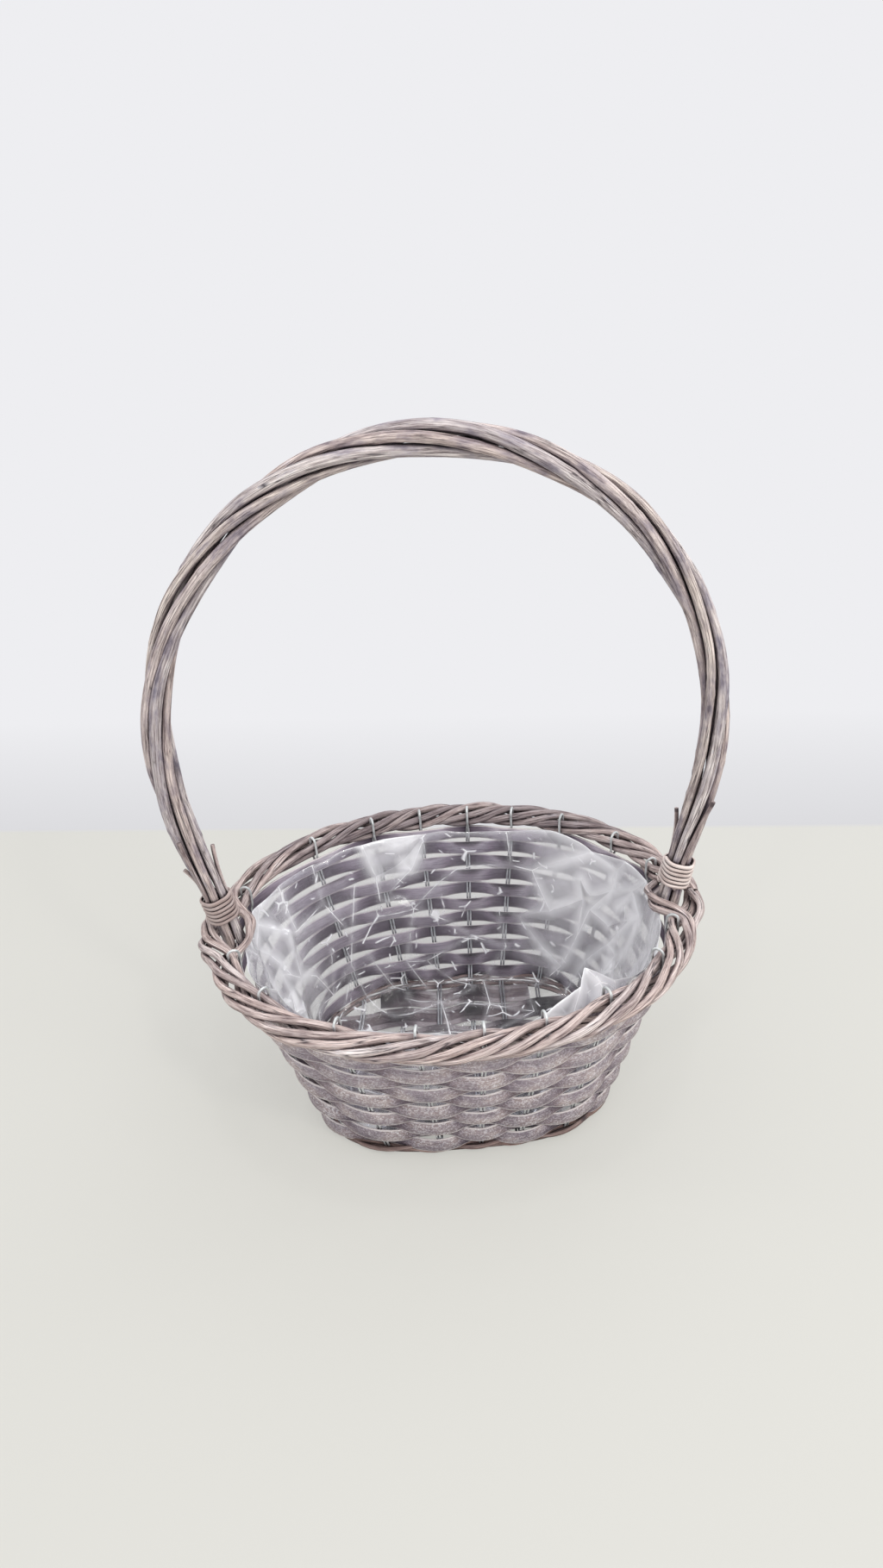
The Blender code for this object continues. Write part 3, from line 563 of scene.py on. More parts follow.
# Sweeps a profile along the curves and stores where on the piece each point lies
def sweep(tree, curve, profile, across, girth, label):
    length = addNode(tree, "GeometryNodeSplineParameter").outputs["Length"]
    route, along = capture(tree, curve, "FLOAT", "Along", length)
    skin = addNode(tree, "GeometryNodeCurveToMesh", {
        "Curve": route, "Profile Curve": profile, "Scale": girth, "Fill Caps": True}).outputs["Mesh"]
    parts = addNode(tree, "ShaderNodeSeparateXYZ", {0: across}).outputs
    place = addNode(tree, "ShaderNodeCombineXYZ", {
        "X": parts["X"], "Y": parts["Y"],
        "Z": calculate(tree, "ADD", along, namedValue(tree, "offset"))}).outputs[0]
    stored = addNode(tree, "GeometryNodeStoreNamedAttribute", {
        "data_type": "FLOAT_VECTOR", "domain": "POINT", "Name": label, "Geometry": skin, "Value": place})
    return stored.outputs[0], place


# Makes the swept skin uneven and gives it its material
def finishTree(tree, source, skin, noisePlace, roughness):
    uneven = addNode(tree, "ShaderNodeTexNoise", {
        "noise_dimensions": "4D", "Vector": noisePlace, "W": source["Seed"], "Scale": 1.0, "Detail": 3.0,
        "Roughness": roughness}).outputs["Fac"]
    depth = calculate(tree, "MULTIPLY", calculate(tree, "SUBTRACT", uneven, 0.5), source["Depth"])
    normal = addNode(tree, "GeometryNodeInputNormal").outputs[0]
    push = vectorMath(tree, "SCALE", {0: normal, "Scale": depth})
    moved = addNode(tree, "GeometryNodeSetPosition", {"Geometry": skin, "Offset": push})
    smooth = addNode(tree, "GeometryNodeSetShadeSmooth", {0: moved.outputs[0]})
    real = addNode(tree, "GeometryNodeRealizeInstances", {0: smooth.outputs[0]})
    dressed = addNode(tree, "GeometryNodeSetMaterial", {
        "Geometry": real.outputs[0], "Material": source["Finish"]})
    addNode(tree, "NodeGroupOutput", {0: dressed.outputs[0]})
    return tree


# Rods: a round profile drawn along each path, uneven as bark is
def rodTree():
    tree, source, curve = startTree("rodsAlongPaths", ("Sides", "Bark Size"))
    girth = namedValue(tree, "girth")
    circle = addNode(tree, "GeometryNodeCurvePrimitiveCircle", {"Radius": 1.0, "Resolution": source["Sides"]})
    position = addNode(tree, "GeometryNodeInputPosition").outputs[0]
    profile, around = capture(tree, circle.outputs["Curve"], "VECTOR", "Round", position)
    across = vectorMath(tree, "SCALE", {0: around, "Scale": girth})
    skin, place = sweep(tree, curve, profile, across, girth, "rodPlace")
    inverse = calculate(tree, "DIVIDE", 1.0, source["Bark Size"])
    barkAt = vectorMath(tree, "SCALE", {0: place, "Scale": inverse})
    return finishTree(tree, source, skin, vectorMath(tree, "MULTIPLY", {0: barkAt, 1: (1.0, 1.0, 0.3)}), 0.6)


# Bands: a thin cupped profile, its face turned to each path's outward direction
def bandTree():
    tree, source, curve = startTree("bandsAlongPaths", ("Width", "Thickness", "Corner", "Cup"))
    turned = addNode(tree, "GeometryNodeSetCurveNormal", {
        "mode": "FREE", "Curve": curve, "Normal": namedValue(tree, "outward", "FLOAT_VECTOR")})
    section = addNode(tree, "GeometryNodeCurvePrimitiveQuadrilateral", {
        "Width": source["Thickness"], "Height": source["Width"]})
    eased = addNode(tree, "GeometryNodeFilletCurve", {
        "mode": "POLY", "Count": 1, "Limit Radius": True, "Curve": section.outputs[0],
        "Radius": source["Corner"]})
    spaced = addNode(tree, "GeometryNodeSubdivideCurve", {"Cuts": 1, "Curve": eased.outputs[0]})
    position = addNode(tree, "GeometryNodeInputPosition").outputs[0]
    flat, across = capture(tree, spaced.outputs[0], "VECTOR", "Section", position)
    # The cup grows with the square of the distance from the band's middle
    sideways = addNode(tree, "ShaderNodeSeparateXYZ", {0: position}).outputs["Y"]
    share = calculate(tree, "DIVIDE", sideways, calculate(tree, "MULTIPLY", source["Width"], 0.5))
    drop = calculate(tree, "MULTIPLY", calculate(tree, "MULTIPLY", share, share), source["Cup"])
    fall = addNode(tree, "ShaderNodeCombineXYZ", {"X": calculate(tree, "MULTIPLY", drop, -1.0)}).outputs[0]
    cupped = addNode(tree, "GeometryNodeSetPosition", {"Geometry": flat, "Offset": fall})
    girth = namedValue(tree, "girth")
    skin, place = sweep(tree, turned.outputs[0], cupped.outputs[0], across, girth, "bandPlace")
    furAt = vectorMath(tree, "MULTIPLY", {0: place, 1: (400.0, 400.0, 160.0)})
    return finishTree(tree, source, skin, furAt, 0.5)


rodsAlongPaths = rodTree()
bandsAlongPaths = bandTree()


# Runs a tree on the paths and keeps its result as a plain mesh
def bakePiece(name, paths, tree, finish, settings):
    guide = pathMesh(name + "Guide", paths)
    modifier = guide.modifiers.new("draw", "NODES")
    modifier.node_group = tree
    inputs = {**settings, "Finish": finish}
    for item in tree.interface.items_tree:
        if item.item_type == "SOCKET" and item.in_out == "INPUT" and item.name in inputs:
            modifier[item.identifier] = inputs[item.name]
    evaluated = guide.evaluated_get(bpy.context.evaluated_depsgraph_get())
    mesh = bpy.data.meshes.new_from_object(evaluated)
    mesh.name = name
    guide.modifiers.clear()
    bpy.data.objects.remove(guide)
    piece = addObject(name, mesh)
    shell = bmesh.new()
    shell.from_mesh(mesh)
    if shell.calc_volume(signed=True) < 0:
        bmesh.ops.reverse_faces(shell, faces=shell.faces)
        shell.to_mesh(mesh)
    shell.free()
    mesh.set_sharp_from_angle(angle=hardEdge)
    print("stage:", name, len(mesh.polygons), "faces")
    return piece


def bandSettings(piece, width):
    return {**piece["skin"], "Width": width, "Thickness": piece["thickness"]}


def settle(piece, nodeNames):
    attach(piece, "root")
    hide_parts(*nodeNames)


# A slow wander, so that no rod follows its path exactly. Unseeded, noise_vector differs from run to run.
noise.seed_set(9)


def wander(place, seed, reach, size):
    return noise.noise_vector(place / size + Vector((seed * 7.1, seed * 3.7, seed))) * reach


# Handle: its middle line read by length
def hoopProfile():
    lean = Vector((math.sin(handle["lean"]), 0, math.cos(handle["lean"])))
    crossing = Vector((legSpan, 0, ovals["rimHeight"]))
    footPoint = crossing + lean * (legFootHeight - ovals["rimHeight"]) / lean.z
    bend = crossing + lean * (legStraight - ovals["rimHeight"]) / lean.z
    spring = Vector((handle["halfWidth"], 0, handle["spring"]))
    pulls = (bend + lean * handle["lowPull"], spring - up * handle["highPull"])
    steps = handle["curveSteps"]
    leg = [footPoint]
    for i in range(steps + 1):
        t = i / steps
        s = 1 - t
        leg.append(s**3 * bend + 3 * s * s * t * pulls[0] + 3 * s * t * t * pulls[1] + t**3 * spring)
    rise = handle["top"] - handle["spring"]
    for i in range(1, steps):
        turn = math.pi / 2 * i / steps
        leg.append(Vector((handle["halfWidth"] * math.cos(turn), 0, handle["spring"] + rise * math.sin(turn))))
    left = [Vector((-p.x, 0, p.z)) for p in leg]
    return left + [Vector((0, 0, handle["top"]))] + list(reversed(leg))


hoopPoints = hoopProfile()
hoopLengths = [0.0]
for before, after in zip(hoopPoints, hoopPoints[1:]):
    hoopLengths.append(hoopLengths[-1] + (after - before).length)
hoopLength = hoopLengths[-1]


def hoopPlace(length):
    length = clamp(length, 0, hoopLength)
    i = 1
    while i < len(hoopLengths) - 1 and hoopLengths[i] < length:
        i += 1
    share = (length - hoopLengths[i - 1]) / (hoopLengths[i] - hoopLengths[i - 1])
    return hoopPoints[i - 1].lerp(hoopPoints[i], share)


# The hoop's middle at a length, and the direction outward from it in the hoop's plane
def hoopFrame(length):
    reach = handle["radius"]
    tangent = (hoopPlace(length + reach) - hoopPlace(length - reach)).normalized()
    return hoopPlace(length), Vector((-tangent.z, 0, tangent.x))


def hoopRod(length):
    end = min(length, hoopLength - length)
    free = end - (legStraight - legFootHeight) / math.cos(handle["lean"])
    return handle["tip"] + (handle["radius"] - handle["tip"]) * smoothShare(clamp(free / handle["blend"]))


def hoopTurn(length):
    share = length / hoopLength
    eased = share - math.sin(oneTurn * share) / oneTurn * handle["slowing"]
    return oneTurn * handle["turns"] * eased


def hoopAtHeight(height, right):
    length = 0.0
    while hoopPlace(length).z < height:
        length += lashing["radius"] / 4
    return hoopLength - length if right else length


def layOffset(out, radius, angle):
    return radius * (math.cos(angle) * out - math.sin(angle) * Vector((0, 1, 0)))


# Away from their calm ends the rods wander, swell at knots and lie closer than in the solids
def handlePaths():
    picker = random.Random(handle["seed"])
    paths = []
    for rod in range(handle["rods"]):
        points = []
        radii = []
        marks = []
        girth = handle["girths"][rod]
        knots = [picker.uniform(handle["knotFree"], hoopLength - handle["knotFree"])
                 for _ in range(handle["knots"])]
        for i in range(handle["points"]):
            length = hoopLength * i / (handle["points"] - 1)
            centre, out = hoopFrame(length)
            radius = hoopRod(length)
            angle = hoopTurn(length) + oneTurn * rod / handle["rods"]
            free = clamp((min(length, hoopLength - length) - handle["calmEnd"]) / handle["calmEnd"])
            place = centre + layOffset(out, layRadius(radius) * (1 - (1 - handle["squeeze"]) * free), angle)
            place += wander(place, rod * 3 + handle["seed"], handle["wander"] * free, handle["wanderSize"])
            beat = noise.noise(Vector((length * handle["swellBeat"], rod * 5.3, 0)))
            swell = 1 + handle["swell"] * free * beat
            near = max(math.exp(-((length - knot) / handle["knotSize"]) ** 2) for knot in knots)
            points.append(place)
            radii.append(radius * (1 + (girth - 1) * free) * (swell + handle["knotSwell"] * near))
            marks.append(near)
        paths.append({"points": points, "girth": radii, "knot": marks, "tone": handle["tones"][rod],
                      "offset": picker.random() * 3})
    return paths


handleRods = bakePiece("handleRods", handlePaths(), rodsAlongPaths, handleWillow, handle["skin"])
settle(handleRods, [f"handle_rod_{i + 1}" for i in range(handle["rods"])])


# Pegs: thin rods in the grooves of a leg, with their cut tops free
def pegPaths():
    paths = []
    steps = pegs["steps"]
    for right in (True, False):
        away = -1 if right else 1
        start = hoopAtHeight(borderTop + pegs["radius"], right)
        lashed = abs(hoopAtHeight(lashStart, right) - start) + lashing["turns"] * lashPitch
        for i, groove in enumerate(pegs["right" if right else "left"]):
            points = []
            span = lashed + pegs["rises"][i]
            for step in range(steps + 1):
                place = span * step / steps
                centre, out = hoopFrame(start + away * place)
                angle = hoopTurn(start + away * place) + oneTurn * (2 * groove + 1) / (2 * handle["rods"])
                free = max(place - lashed, 0) / pegs["rises"][i]
                points.append(centre + layOffset(out, pegLay + pegs["lean"] * free * free, angle))
            radii = [pegs["radius"] * (pegs["butt"] - pegs["taper"] * s / steps) for s in range(steps + 1)]
            paths.append({"points": points, "girth": radii, "knot": [0.0] * (steps - 1) + [1.0, 1.0],
                          "tone": 0.2 + 0.15 * i, "offset": 5 + i * 0.7})
    return paths


pegRods = bakePiece("pegRods", pegPaths(), rodsAlongPaths, borderWillow, pegs["skin"])
settle(pegRods, ["right_peg_1", "right_peg_2", "left_peg_1", "left_peg_2", "left_peg_3"])


# Border: three strands of two rods, laid over and under the loops and the legs
def borderStops():
    half = ribCount // 2
    return [0.0] + ribAngles[:half] + [math.pi] + ribAngles[half:] + [oneTurn]


def pairMiddle(angle, phase, strand, stop):
    here = rimPoint(angle)
    across = abs(here.y) if abs(here.x) > ovals["rimLength"] / 2 else border["bulgeReach"]
    away = (across - legHalfRoom) / (border["bulgeReach"] - legHalfRoom)
    bulge = (1 + math.cos(math.pi * clamp(away))) / 2
    nearest = min(legStops, key=lambda legStop: abs(legStop - stop))
    inside = (nearest - strand) % border["strands"] == 0
    reach = pairReach * math.cos(phase) + bulge * (-innerShift if inside else border["legBulge"])
    return here + rimNormal(angle) * reach + up * pairReach * border["flatness"] * math.sin(phase)


def borderPath(strand, member):
    stops = borderStops()
    middles = []
    spreads = []
    for i in range(len(stops) - 1):
        steps = border["steps"] + (border["legSteps"] if i in legStops or i + 1 in legStops else 0)
        for step in range(steps + (1 if i == len(stops) - 2 else 0)):
            share = step / steps
            angle = stops[i] + (stops[i + 1] - stops[i]) * share
            eased = share + (smoothShare(share) - share) * border["hold"]
            phase = math.pi + layTurn * (i + eased - strand)
            middles.append(pairMiddle(angle, phase, strand, i + share))
            spreads.append(math.cos(phase) * up - math.sin(phase) * rimNormal(angle))
    points = []
    for i, middle in enumerate(middles):
        along = (middles[min(i + 1, len(middles) - 1)] - middles[max(i - 1, 0)]).normalized()
        spread = (spreads[i] - along * spreads[i].dot(along)).normalized()
        points.append(middle + spread * pairHalf * member)
    points[0].y = border["endGap"] / 2
    points[-1].y = -border["endGap"] / 2
    return points


# The rods darken towards the back, where the photograph has them in shade
def borderPaths():
    paths = []
    for strand in range(border["strands"]):
        for member in (-1, 1):
            seed = strand * 2 + (1 if member > 0 else 0)
            points = [p + wander(p, seed, border["wander"], border["wanderSize"])
                      for p in borderPath(strand, member)]
            radii = []
            tones = []
            for p in points:
                beat = noise.noise(p * border["swellBeat"] + Vector((seed, 0, 0)))
                radii.append(border["rod"] * (border["girth"] + border["swell"] * beat))
                back = clamp((p.y / ovals["rimWidth"] - border["darkFrom"]) * border["darkGain"])
                tones.append(border["tones"][seed] * (1 - border["darkBack"] * back))
            paths.append({"points": points, "girth": radii, "tone": tones, "offset": 1.3 * seed + 4})
    return paths


borderRods = bakePiece("borderRods", borderPaths(), rodsAlongPaths, borderWillow, border["skin"])
settle(borderRods, [f"border_rod_{n}{letter}" for n in (1, 2, 3) for letter in "ab"])


# Foot: one rod under the ribs' corners, and a thin pair twined round them
def footPath():
    points = []
    for i in range(foot["points"]):
        turn = oneTurn * i / foot["points"]
        points.append(basePoint(turn) + baseNormal(turn) * (-2 * ribs["wire"]) + up * footHeight)
    return points


def twinePath(side):
    points = []
    for k, here in enumerate(ribAngles):
        for step in range(foot["twineSteps"]):
            turn = here + (nextAngle(k) - here) * step / foot["twineSteps"]
            beat = math.pi * (k + step / foot["twineSteps"])
            lift = ribBase + foot["twineLift"] + side * foot["twine"] * math.sin(beat)
            reach = foot["twineOut"] + side * foot["weave"] * math.cos(beat)
            points.append(basePoint(turn) + baseNormal(turn) * reach + up * lift)
    return points


footRods = bakePiece("footRods", [
    {"points": footPath(), "girth": foot["rod"], "closed": True, "tone": 0.4},
    {"points": twinePath(1), "girth": foot["thin"], "closed": True, "tone": 0.7, "offset": 2.0},
    {"points": twinePath(-1), "girth": foot["thin"], "closed": True, "tone": 0.2, "offset": 4.0},
], rodsAlongPaths, footWillow, foot["skin"])
for vertex in footRods.data.vertices:
    vertex.co.z = max(vertex.co.z, 0)
settle(footRods, ["foot_rod_under", "foot_rod_outer"])


# Ribs: doubled wires with a hairpin over the border at each end
def ribLeg(k, side, lateral, level):
    angle = ribAngles[k]
    corner = wallPoint(angle, ribBase)
    out, along, _ = wallFrame(angle, stripBottom)
    if along.dot(lateral) < 0:
        along = -along
    pair = ribs["wire"] + ovals["gap"] / 2
    bend = ribs["bend"] * ribs["wire"]
    inner = corner - bend * levelled(out)
    run = inner.copy()
    run.z = ribBase
    start = run - 2 * bend * levelled(out)
    start.z = level
    middle = corner.lerp(inner, ribs["bendCut"])
    middle.z = ribBase + bend * ribs["bendCut"]
    return [start + lateral * pair * side, run + along.lerp(lateral, 0.5).normalized() * pair * side,
            middle + along * pair * side, wallPoint(angle, ribBase + bend) + along * pair * side,
            wallPoint(angle, wallTop) + along * pair * side]


def ribLoop(k):
    out = rimNormal(ribAngles[k])
    centre = rimPoint(ribAngles[k]) - out * pairReach
    points = [centre - out * loopHalf]
    for turn in range(ribs["loopSteps"] + 1):
        swing = math.pi * turn / ribs["loopSteps"]
        place = centre - out * loopHalf * math.cos(swing)
        place.z = loopCrest - loopHalf + loopHalf * math.sin(swing)
        points.append(place)
    points.append(centre + out * loopHalf)
    points[0].z = points[-1].z = ovals["rimHeight"] - pairHalf - border["rod"]
    return points


# Cuts the corners of a closed path, once each round
def smoothPath(points, rounds):
    for _ in range(rounds):
        cut = []
        for i, a in enumerate(points):
            b = points[(i + 1) % len(points)]
            cut += [a.lerp(b, 0.25), a.lerp(b, 0.75)]
        points = cut
    return points


def ribPath(first, second, level):
    ends = [wallPoint(ribAngles[k], ribBase) for k in (first, second)]
    lateral = up.cross((ends[1] - ends[0]).normalized())
    path = ribLeg(first, 1, lateral, level) + ribLoop(first) + ribLeg(first, -1, lateral, level)[::-1]
    path += ribLeg(second, -1, lateral, level) + ribLoop(second) + ribLeg(second, 1, lateral, level)[::-1]
    return smoothPath(path, ribs["rounds"])


# The wires are drawn thin between the strips and reach their full thickness in the hairpins
def ribPaths():
    paths = [ribPath(k, ribCount - 1 - k, ribBase) for k in range(1, ribCount // 2 - 1)]
    last = ribCount // 2 - 1
    paths.append(ribPath(0, last, keelHeight))
    paths.append(ribPath(ribCount - 1, last + 1, keelHeight))
    low = wallTop - ribs["thickening"]
    thicker = ribs["wire"] - ribs["drawn"]
    return [{"points": path, "closed": True, "offset": 0.4 * i,
             "girth": [ribs["drawn"] + thicker * clamp((p.z - low) / ribs["thickening"]) for p in path]}
            for i, path in enumerate(paths)]


ribWires = bakePiece("ribWires", ribPaths(), rodsAlongPaths, galvanisedWire, ribs["skin"])
settle(ribWires, [f"cross_rib_{k}" for k in range(1, 8)] + ["long_rib_back", "long_rib_front"])


# Wall: eleven flat strips, each woven in front of one rib and behind the next.
# They stand upright on the sloping ribs and lap like boards, with one slot to every two rows at a rib.
def stripPaths():
    picker = random.Random(strips["seed"])
    paths = []
    pitch = stripPitch + strips["rise"] / strips["count"]
    for row in range(strips["count"]):
        level = stripBottom + (row + 0.5) * pitch
        points = []
        outward = []
        proud = []
        lift = [picker.uniform(-1, 1) for _ in ribAngles]
        lean = [picker.uniform(-1, 1) * strips["lean"] for _ in ribAngles]
        for k, here in enumerate(ribAngles):
            side = 1 if (k + row) % 2 == 0 else -1
            after = (k + 1) % ribCount
            for step in range(strips["steps"]):
                share = step / strips["steps"]
                angle = here + (nextAngle(k) - here) * share
                eased = waveShare(share)
                swing = side * math.cos(math.pi * share)
                swing = math.copysign(abs(swing) ** strips["swingPower"], swing)
                rise = (lift[k] * (1 - eased) + lift[after] * eased) * strips["waver"]
                tilt = lean[k] * (1 - eased) + lean[after] * eased
                out, _, slope = wallFrame(angle, level)
                points.append(wallPoint(angle, level) + out * strips["wave"] * swing + slope * rise)
                outward.append(levelled(out) * math.cos(tilt) + up * math.sin(tilt))
                proud.append(swing)
        paths.append({"points": points, "outward": outward, "proud": proud, "closed": True,
                      # Lower rows take a darker tone: painted shade towards the bottom of the wall, with a
                      # random spread from row to row
                      "tone": strips["rowShadeStep"] * row + strips["toneSpread"] * picker.random(),
                      "offset": 1.1 * row})
    return paths


wallStrips = bakePiece("wallStrips", stripPaths(), bandsAlongPaths, washedChip,
                       bandSettings(strips, strips["width"]))
settle(wallStrips, [f"wall_strip_{row + 1}" for row in range(strips["count"])])


# Base: seven slats laid lengthwise over and under the crosswise wires
def baseCrossings(y):
    found = []
    for k in range(1, ribCount // 2 - 1):
        back = wallPoint(ribAngles[k], ribBase)
        front = wallPoint(ribAngles[ribCount - 1 - k], ribBase)
        if front.y < y < back.y:
            share = (y - front.y) / (back.y - front.y)
            found.append(front.x + (back.x - front.x) * share)
    return sorted(found)


slatPitch = 2 * (ovals["baseWidth"] - slats["inset"]) / slats["count"]


def slatPaths():
    paths = []
    inner = ovals["baseWidth"] - foot["rod"] - 2 * ribs["wire"]
    halfWidth = (slatPitch - slats["spacing"]) / 2
    flat = slats["flat"] * ribs["wire"]
    for row in range(slats["count"]):
        y = (row - (slats["count"] - 1) / 2) * slatPitch
        reach = 1 - ((abs(y) + halfWidth) / inner) ** ovals["baseSquareness"]
        halfLength = (ovals["baseLength"] - slats["inset"]) * reach ** (1 / ovals["baseSquareness"])
        crossings = [x for x in baseCrossings(y) if abs(x) < halfLength - slats["inset"] / 2]
        stations = []
        for i, x in enumerate(crossings):
            side = 1 if (i + row) % 2 == 0 else -1
            stations += [(x - flat, side), (x + flat, side)]
        halfLength += slats["longer"]
        stations = [(-halfLength, stations[0][1])] + stations + [(halfLength, stations[-1][1])]
        points = []
        for (x0, side0), (x1, side1) in zip(stations, stations[1:]):
            for step in range(slats["steps"]):
                share = step / slats["steps"]
                height = ribBase + slatWave * (side0 + (side1 - side0) * waveShare(share))
                points.append(Vector((x0 + (x1 - x0) * share, y, height)))
        points.append(Vector((stations[-1][0], y, ribBase + slatWave * stations[-1][1])))
        paths.append({"points": points, "tone": 0.15 * row, "offset": 20 + row})
    return paths


baseSlats = bakePiece("baseSlats", slatPaths(), bandsAlongPaths, bareChip,
                      bandSettings(slats, slatPitch - slats["spacing"] + slats["spread"]))
settle(baseSlats, [f"base_slat_{row + 1}" for row in range(slats["count"])])


# Lashings: flat cane wound tight round each leg, angular where it turns a rod
def lashPath(right):
    start = hoopAtHeight(lashStart, right)
    away = -1 if right else 1
    points = []
    outward = []
    for i in range(lashing["turns"] * lashing["steps"] + 1):
        turned = i / lashing["steps"]
        angle = oneTurn * turned + math.pi
        centre, out = hoopFrame(start + away * lashPitch * turned)
        overRod = 1 + math.cos(handle["rods"] * (angle - hoopTurn(start)) + math.pi)
        corner = 1 - lashing["corner"] * overRod / 2
        waver = noise.noise(Vector((turned * lashing["waverBeat"], 1.0 if right else 5.0, 0)))
        drift = noise.noise(Vector((turned * lashing["driftBeat"], 9.0 if right else 13.0, 0)))
        reach = lashRing * corner + lashing["waver"] * waver
        points.append(centre + layOffset(out, reach, angle) + up * (lashing["waver"] * drift))
        outward.append(layOffset(out, 1.0, angle))
    return {"points": points, "outward": outward, "tone": 1.0 if right else 0.2,
            "offset": 0.5 if right else 3.5}


for sideName, right in (("Left", False), ("Right", True)):
    winding = bakePiece("lashing" + sideName, [lashPath(right)], bandsAlongPaths, splitCane,
                        bandSettings(lashing, lashing["width"]))
    settle(winding, ["lashing_" + sideName.lower()])


# Liner: a bag of clear film pushed loosely into the basket, creased by its packing.
# Its sides and floor are soft panels between sharp folds, drawn up higher where the film is bunched.
liner = {
    "columns": 28, "rows": 4, "drop": 8 * mm, "thickness": 0.12 * mm, "seed": 8,
    "floorGap": 1.2 * mm, "clear": 5.6 * mm, "dent": 9 * mm, "girth": 0.78, "depth": 0.13, "wrap": 0.12,
    # Where the seeds of the facets may stray, and how deep each is dented
    "edgeStray": 0.3, "turnStray": 0.42, "rowStray": 0.4, "edgeWave": 0.03, "bunchTop": 0.95,
    "dentPower": 1.6, "dentFrom": 0.10, "dentReach": 0.75, "endDent": 0.4,
    "lipFrom": 0.72, "lipReach": 0.28, "floorPoints": 36, "floorReach": 0.86, "floorRise": 2.2,
    # Facets joined in a panel, the share of sharp folds between panels, and the rounding
    "panelFacets": 4, "creased": 0.85, "softCrease": 0.2, "rimCrease": 0.5, "hardCrease": 0.85,
    "foldCrease": 0.4, "levels": 3, "hardEdge": math.radians(38), "foldSamples": 5,
    "crumple": 0.5 * mm, "crumpleSize": 13 * mm, "crumpleFlat": 0.55, "ridge": 2.6, "hollow": -0.4,
    "haze": 0.045, "hazeGain": 4, "hazeLow": 0.3, "milkGain": 2.4, "milkRise": 0.18,
    # Turn, half width, rise and inward lean in millimetres of each place where the film is bunched
    "peaks": ((0.47, 0.04, 9, 1), (0.53, 0.03, 6, 2), (0.60, 0.04, 4, 8), (0.73, 0.10, -2, 12),
              (0.85, 0.06, 11, 20), (0.07, 0.05, 8, 2), (0.16, 0.035, 13, 6), (0.97, 0.05, 7, 1),
              (0.33, 0.04, 5, 3), (0.25, 0.06, 2, 2)),
    # Turn, half width, lowest share and strength of each whitened patch, whitened by packing and by painted
    # reflection of the room
    "milky": ((0.52, 0.13, 0.10, 0.46), (0.47, 0.05, 0.45, 0.56), (0.065, 0.12, 0.05, 0.62),
              (0.94, 0.06, 0.10, 0.78), (0.75, 0.16, 0.80, 0.76), (0.30, 0.035, 0.70, 0.78),
              (0.22, 0.16, 0.90, 0.3), (0.85, 0.06, 0.55, 0.5)),
    # Turn, half width, lowest share and number of the extra seeds in each bunch
    "bunches": ((0.47, 0.04, 0.45, 9), (0.52, 0.05, 0.2, 8), (0.07, 0.06, 0.3, 9), (0.85, 0.055, 0.55, 18),
                (0.30, 0.04, 0.6, 5)),
}
linerFloor = slatTop + liner["floorGap"]


# 1 at a place on the rim, 0 at its half width and negative beyond
def nearness(turn, centre, width):
    gap = abs(turn - centre)
    return 1 - min(gap, 1 - gap) / width


# What the bunched places add up to at a turn: column 2 is their rise, 3 their lean
def bunched(turn, column):
    total = 0.0
    for peak in liner["peaks"]:
        total += peak[column] * mm * max(0.0, nearness(turn, peak[0], peak[1]))
    return total


def linerEdge(turn):
    return ovals["rimHeight"] - liner["drop"] + bunched(turn, 2)


def linerPoint(turn, share, inset):
    angle = oneTurn * turn
    height = linerFloor + (linerEdge(turn % 1) - linerFloor) * share
    ground = wallPoint(angle, min(height, wallTop))
    ground.z = height
    lip = max(share - liner["lipFrom"], 0) / liner["lipReach"]
    inward = liner["clear"] + inset + bunched(turn % 1, 3) * lip * lip
    return ground - levelled(wallFrame(angle, stripBottom)[0]) * inward


# Milk: how far the film is whitened, by where its folds are packed; the white is both the whitening of packed
# film and a painted reflection of the bright room
def linerMilk(place):
    turn = math.atan2(place.y / ovals["rimWidth"], place.x / ovals["rimLength"]) / oneTurn % 1
    share = (place.z - linerFloor) / (linerEdge(turn) - linerFloor)
    veil = liner["haze"] * clamp(share * liner["hazeGain"], liner["hazeLow"])
    for centre, width, low, strength in liner["milky"]:
        side = clamp(nearness(turn, centre, width) * liner["milkGain"])
        veil = max(veil, strength * side * clamp((share - low) / liner["milkRise"]))
    return veil


# Triangles between flat points, each as three numbers of points
def triangulate(spread):
    _, _, triangles, origins, _, _ = geometry.delaunay_2d_cdt(spread, [], [], 0, 1e-7)
    return [[origins[v][0] for v in triangle] for triangle in triangles]


# Turn and share of the height of every corner between facets, floor and rim included
def linerSeeds(picker):
    columns = liner["columns"]
    rows = liner["rows"]
    seeds = [(i / columns, 0.0) for i in range(columns)]
    edgeCount = columns * 2
    stray = liner["edgeStray"]
    seeds += [((i + picker.uniform(-stray, stray)) / edgeCount, 1.0) for i in range(edgeCount)]
    for row in range(1, rows):
        for i in range(columns):
            turn = (i + (row % 2) * 0.5 + picker.uniform(-liner["turnStray"], liner["turnStray"])) / columns
            seeds.append((turn % 1, (row + picker.uniform(-liner["rowStray"], liner["rowStray"])) / rows))
    for centre, width, low, count in liner["bunches"]:
        for _ in range(count):
            turn = (centre + picker.uniform(-width, width)) % 1
            seeds.append((turn, picker.uniform(low, liner["bunchTop"])))
    return seeds


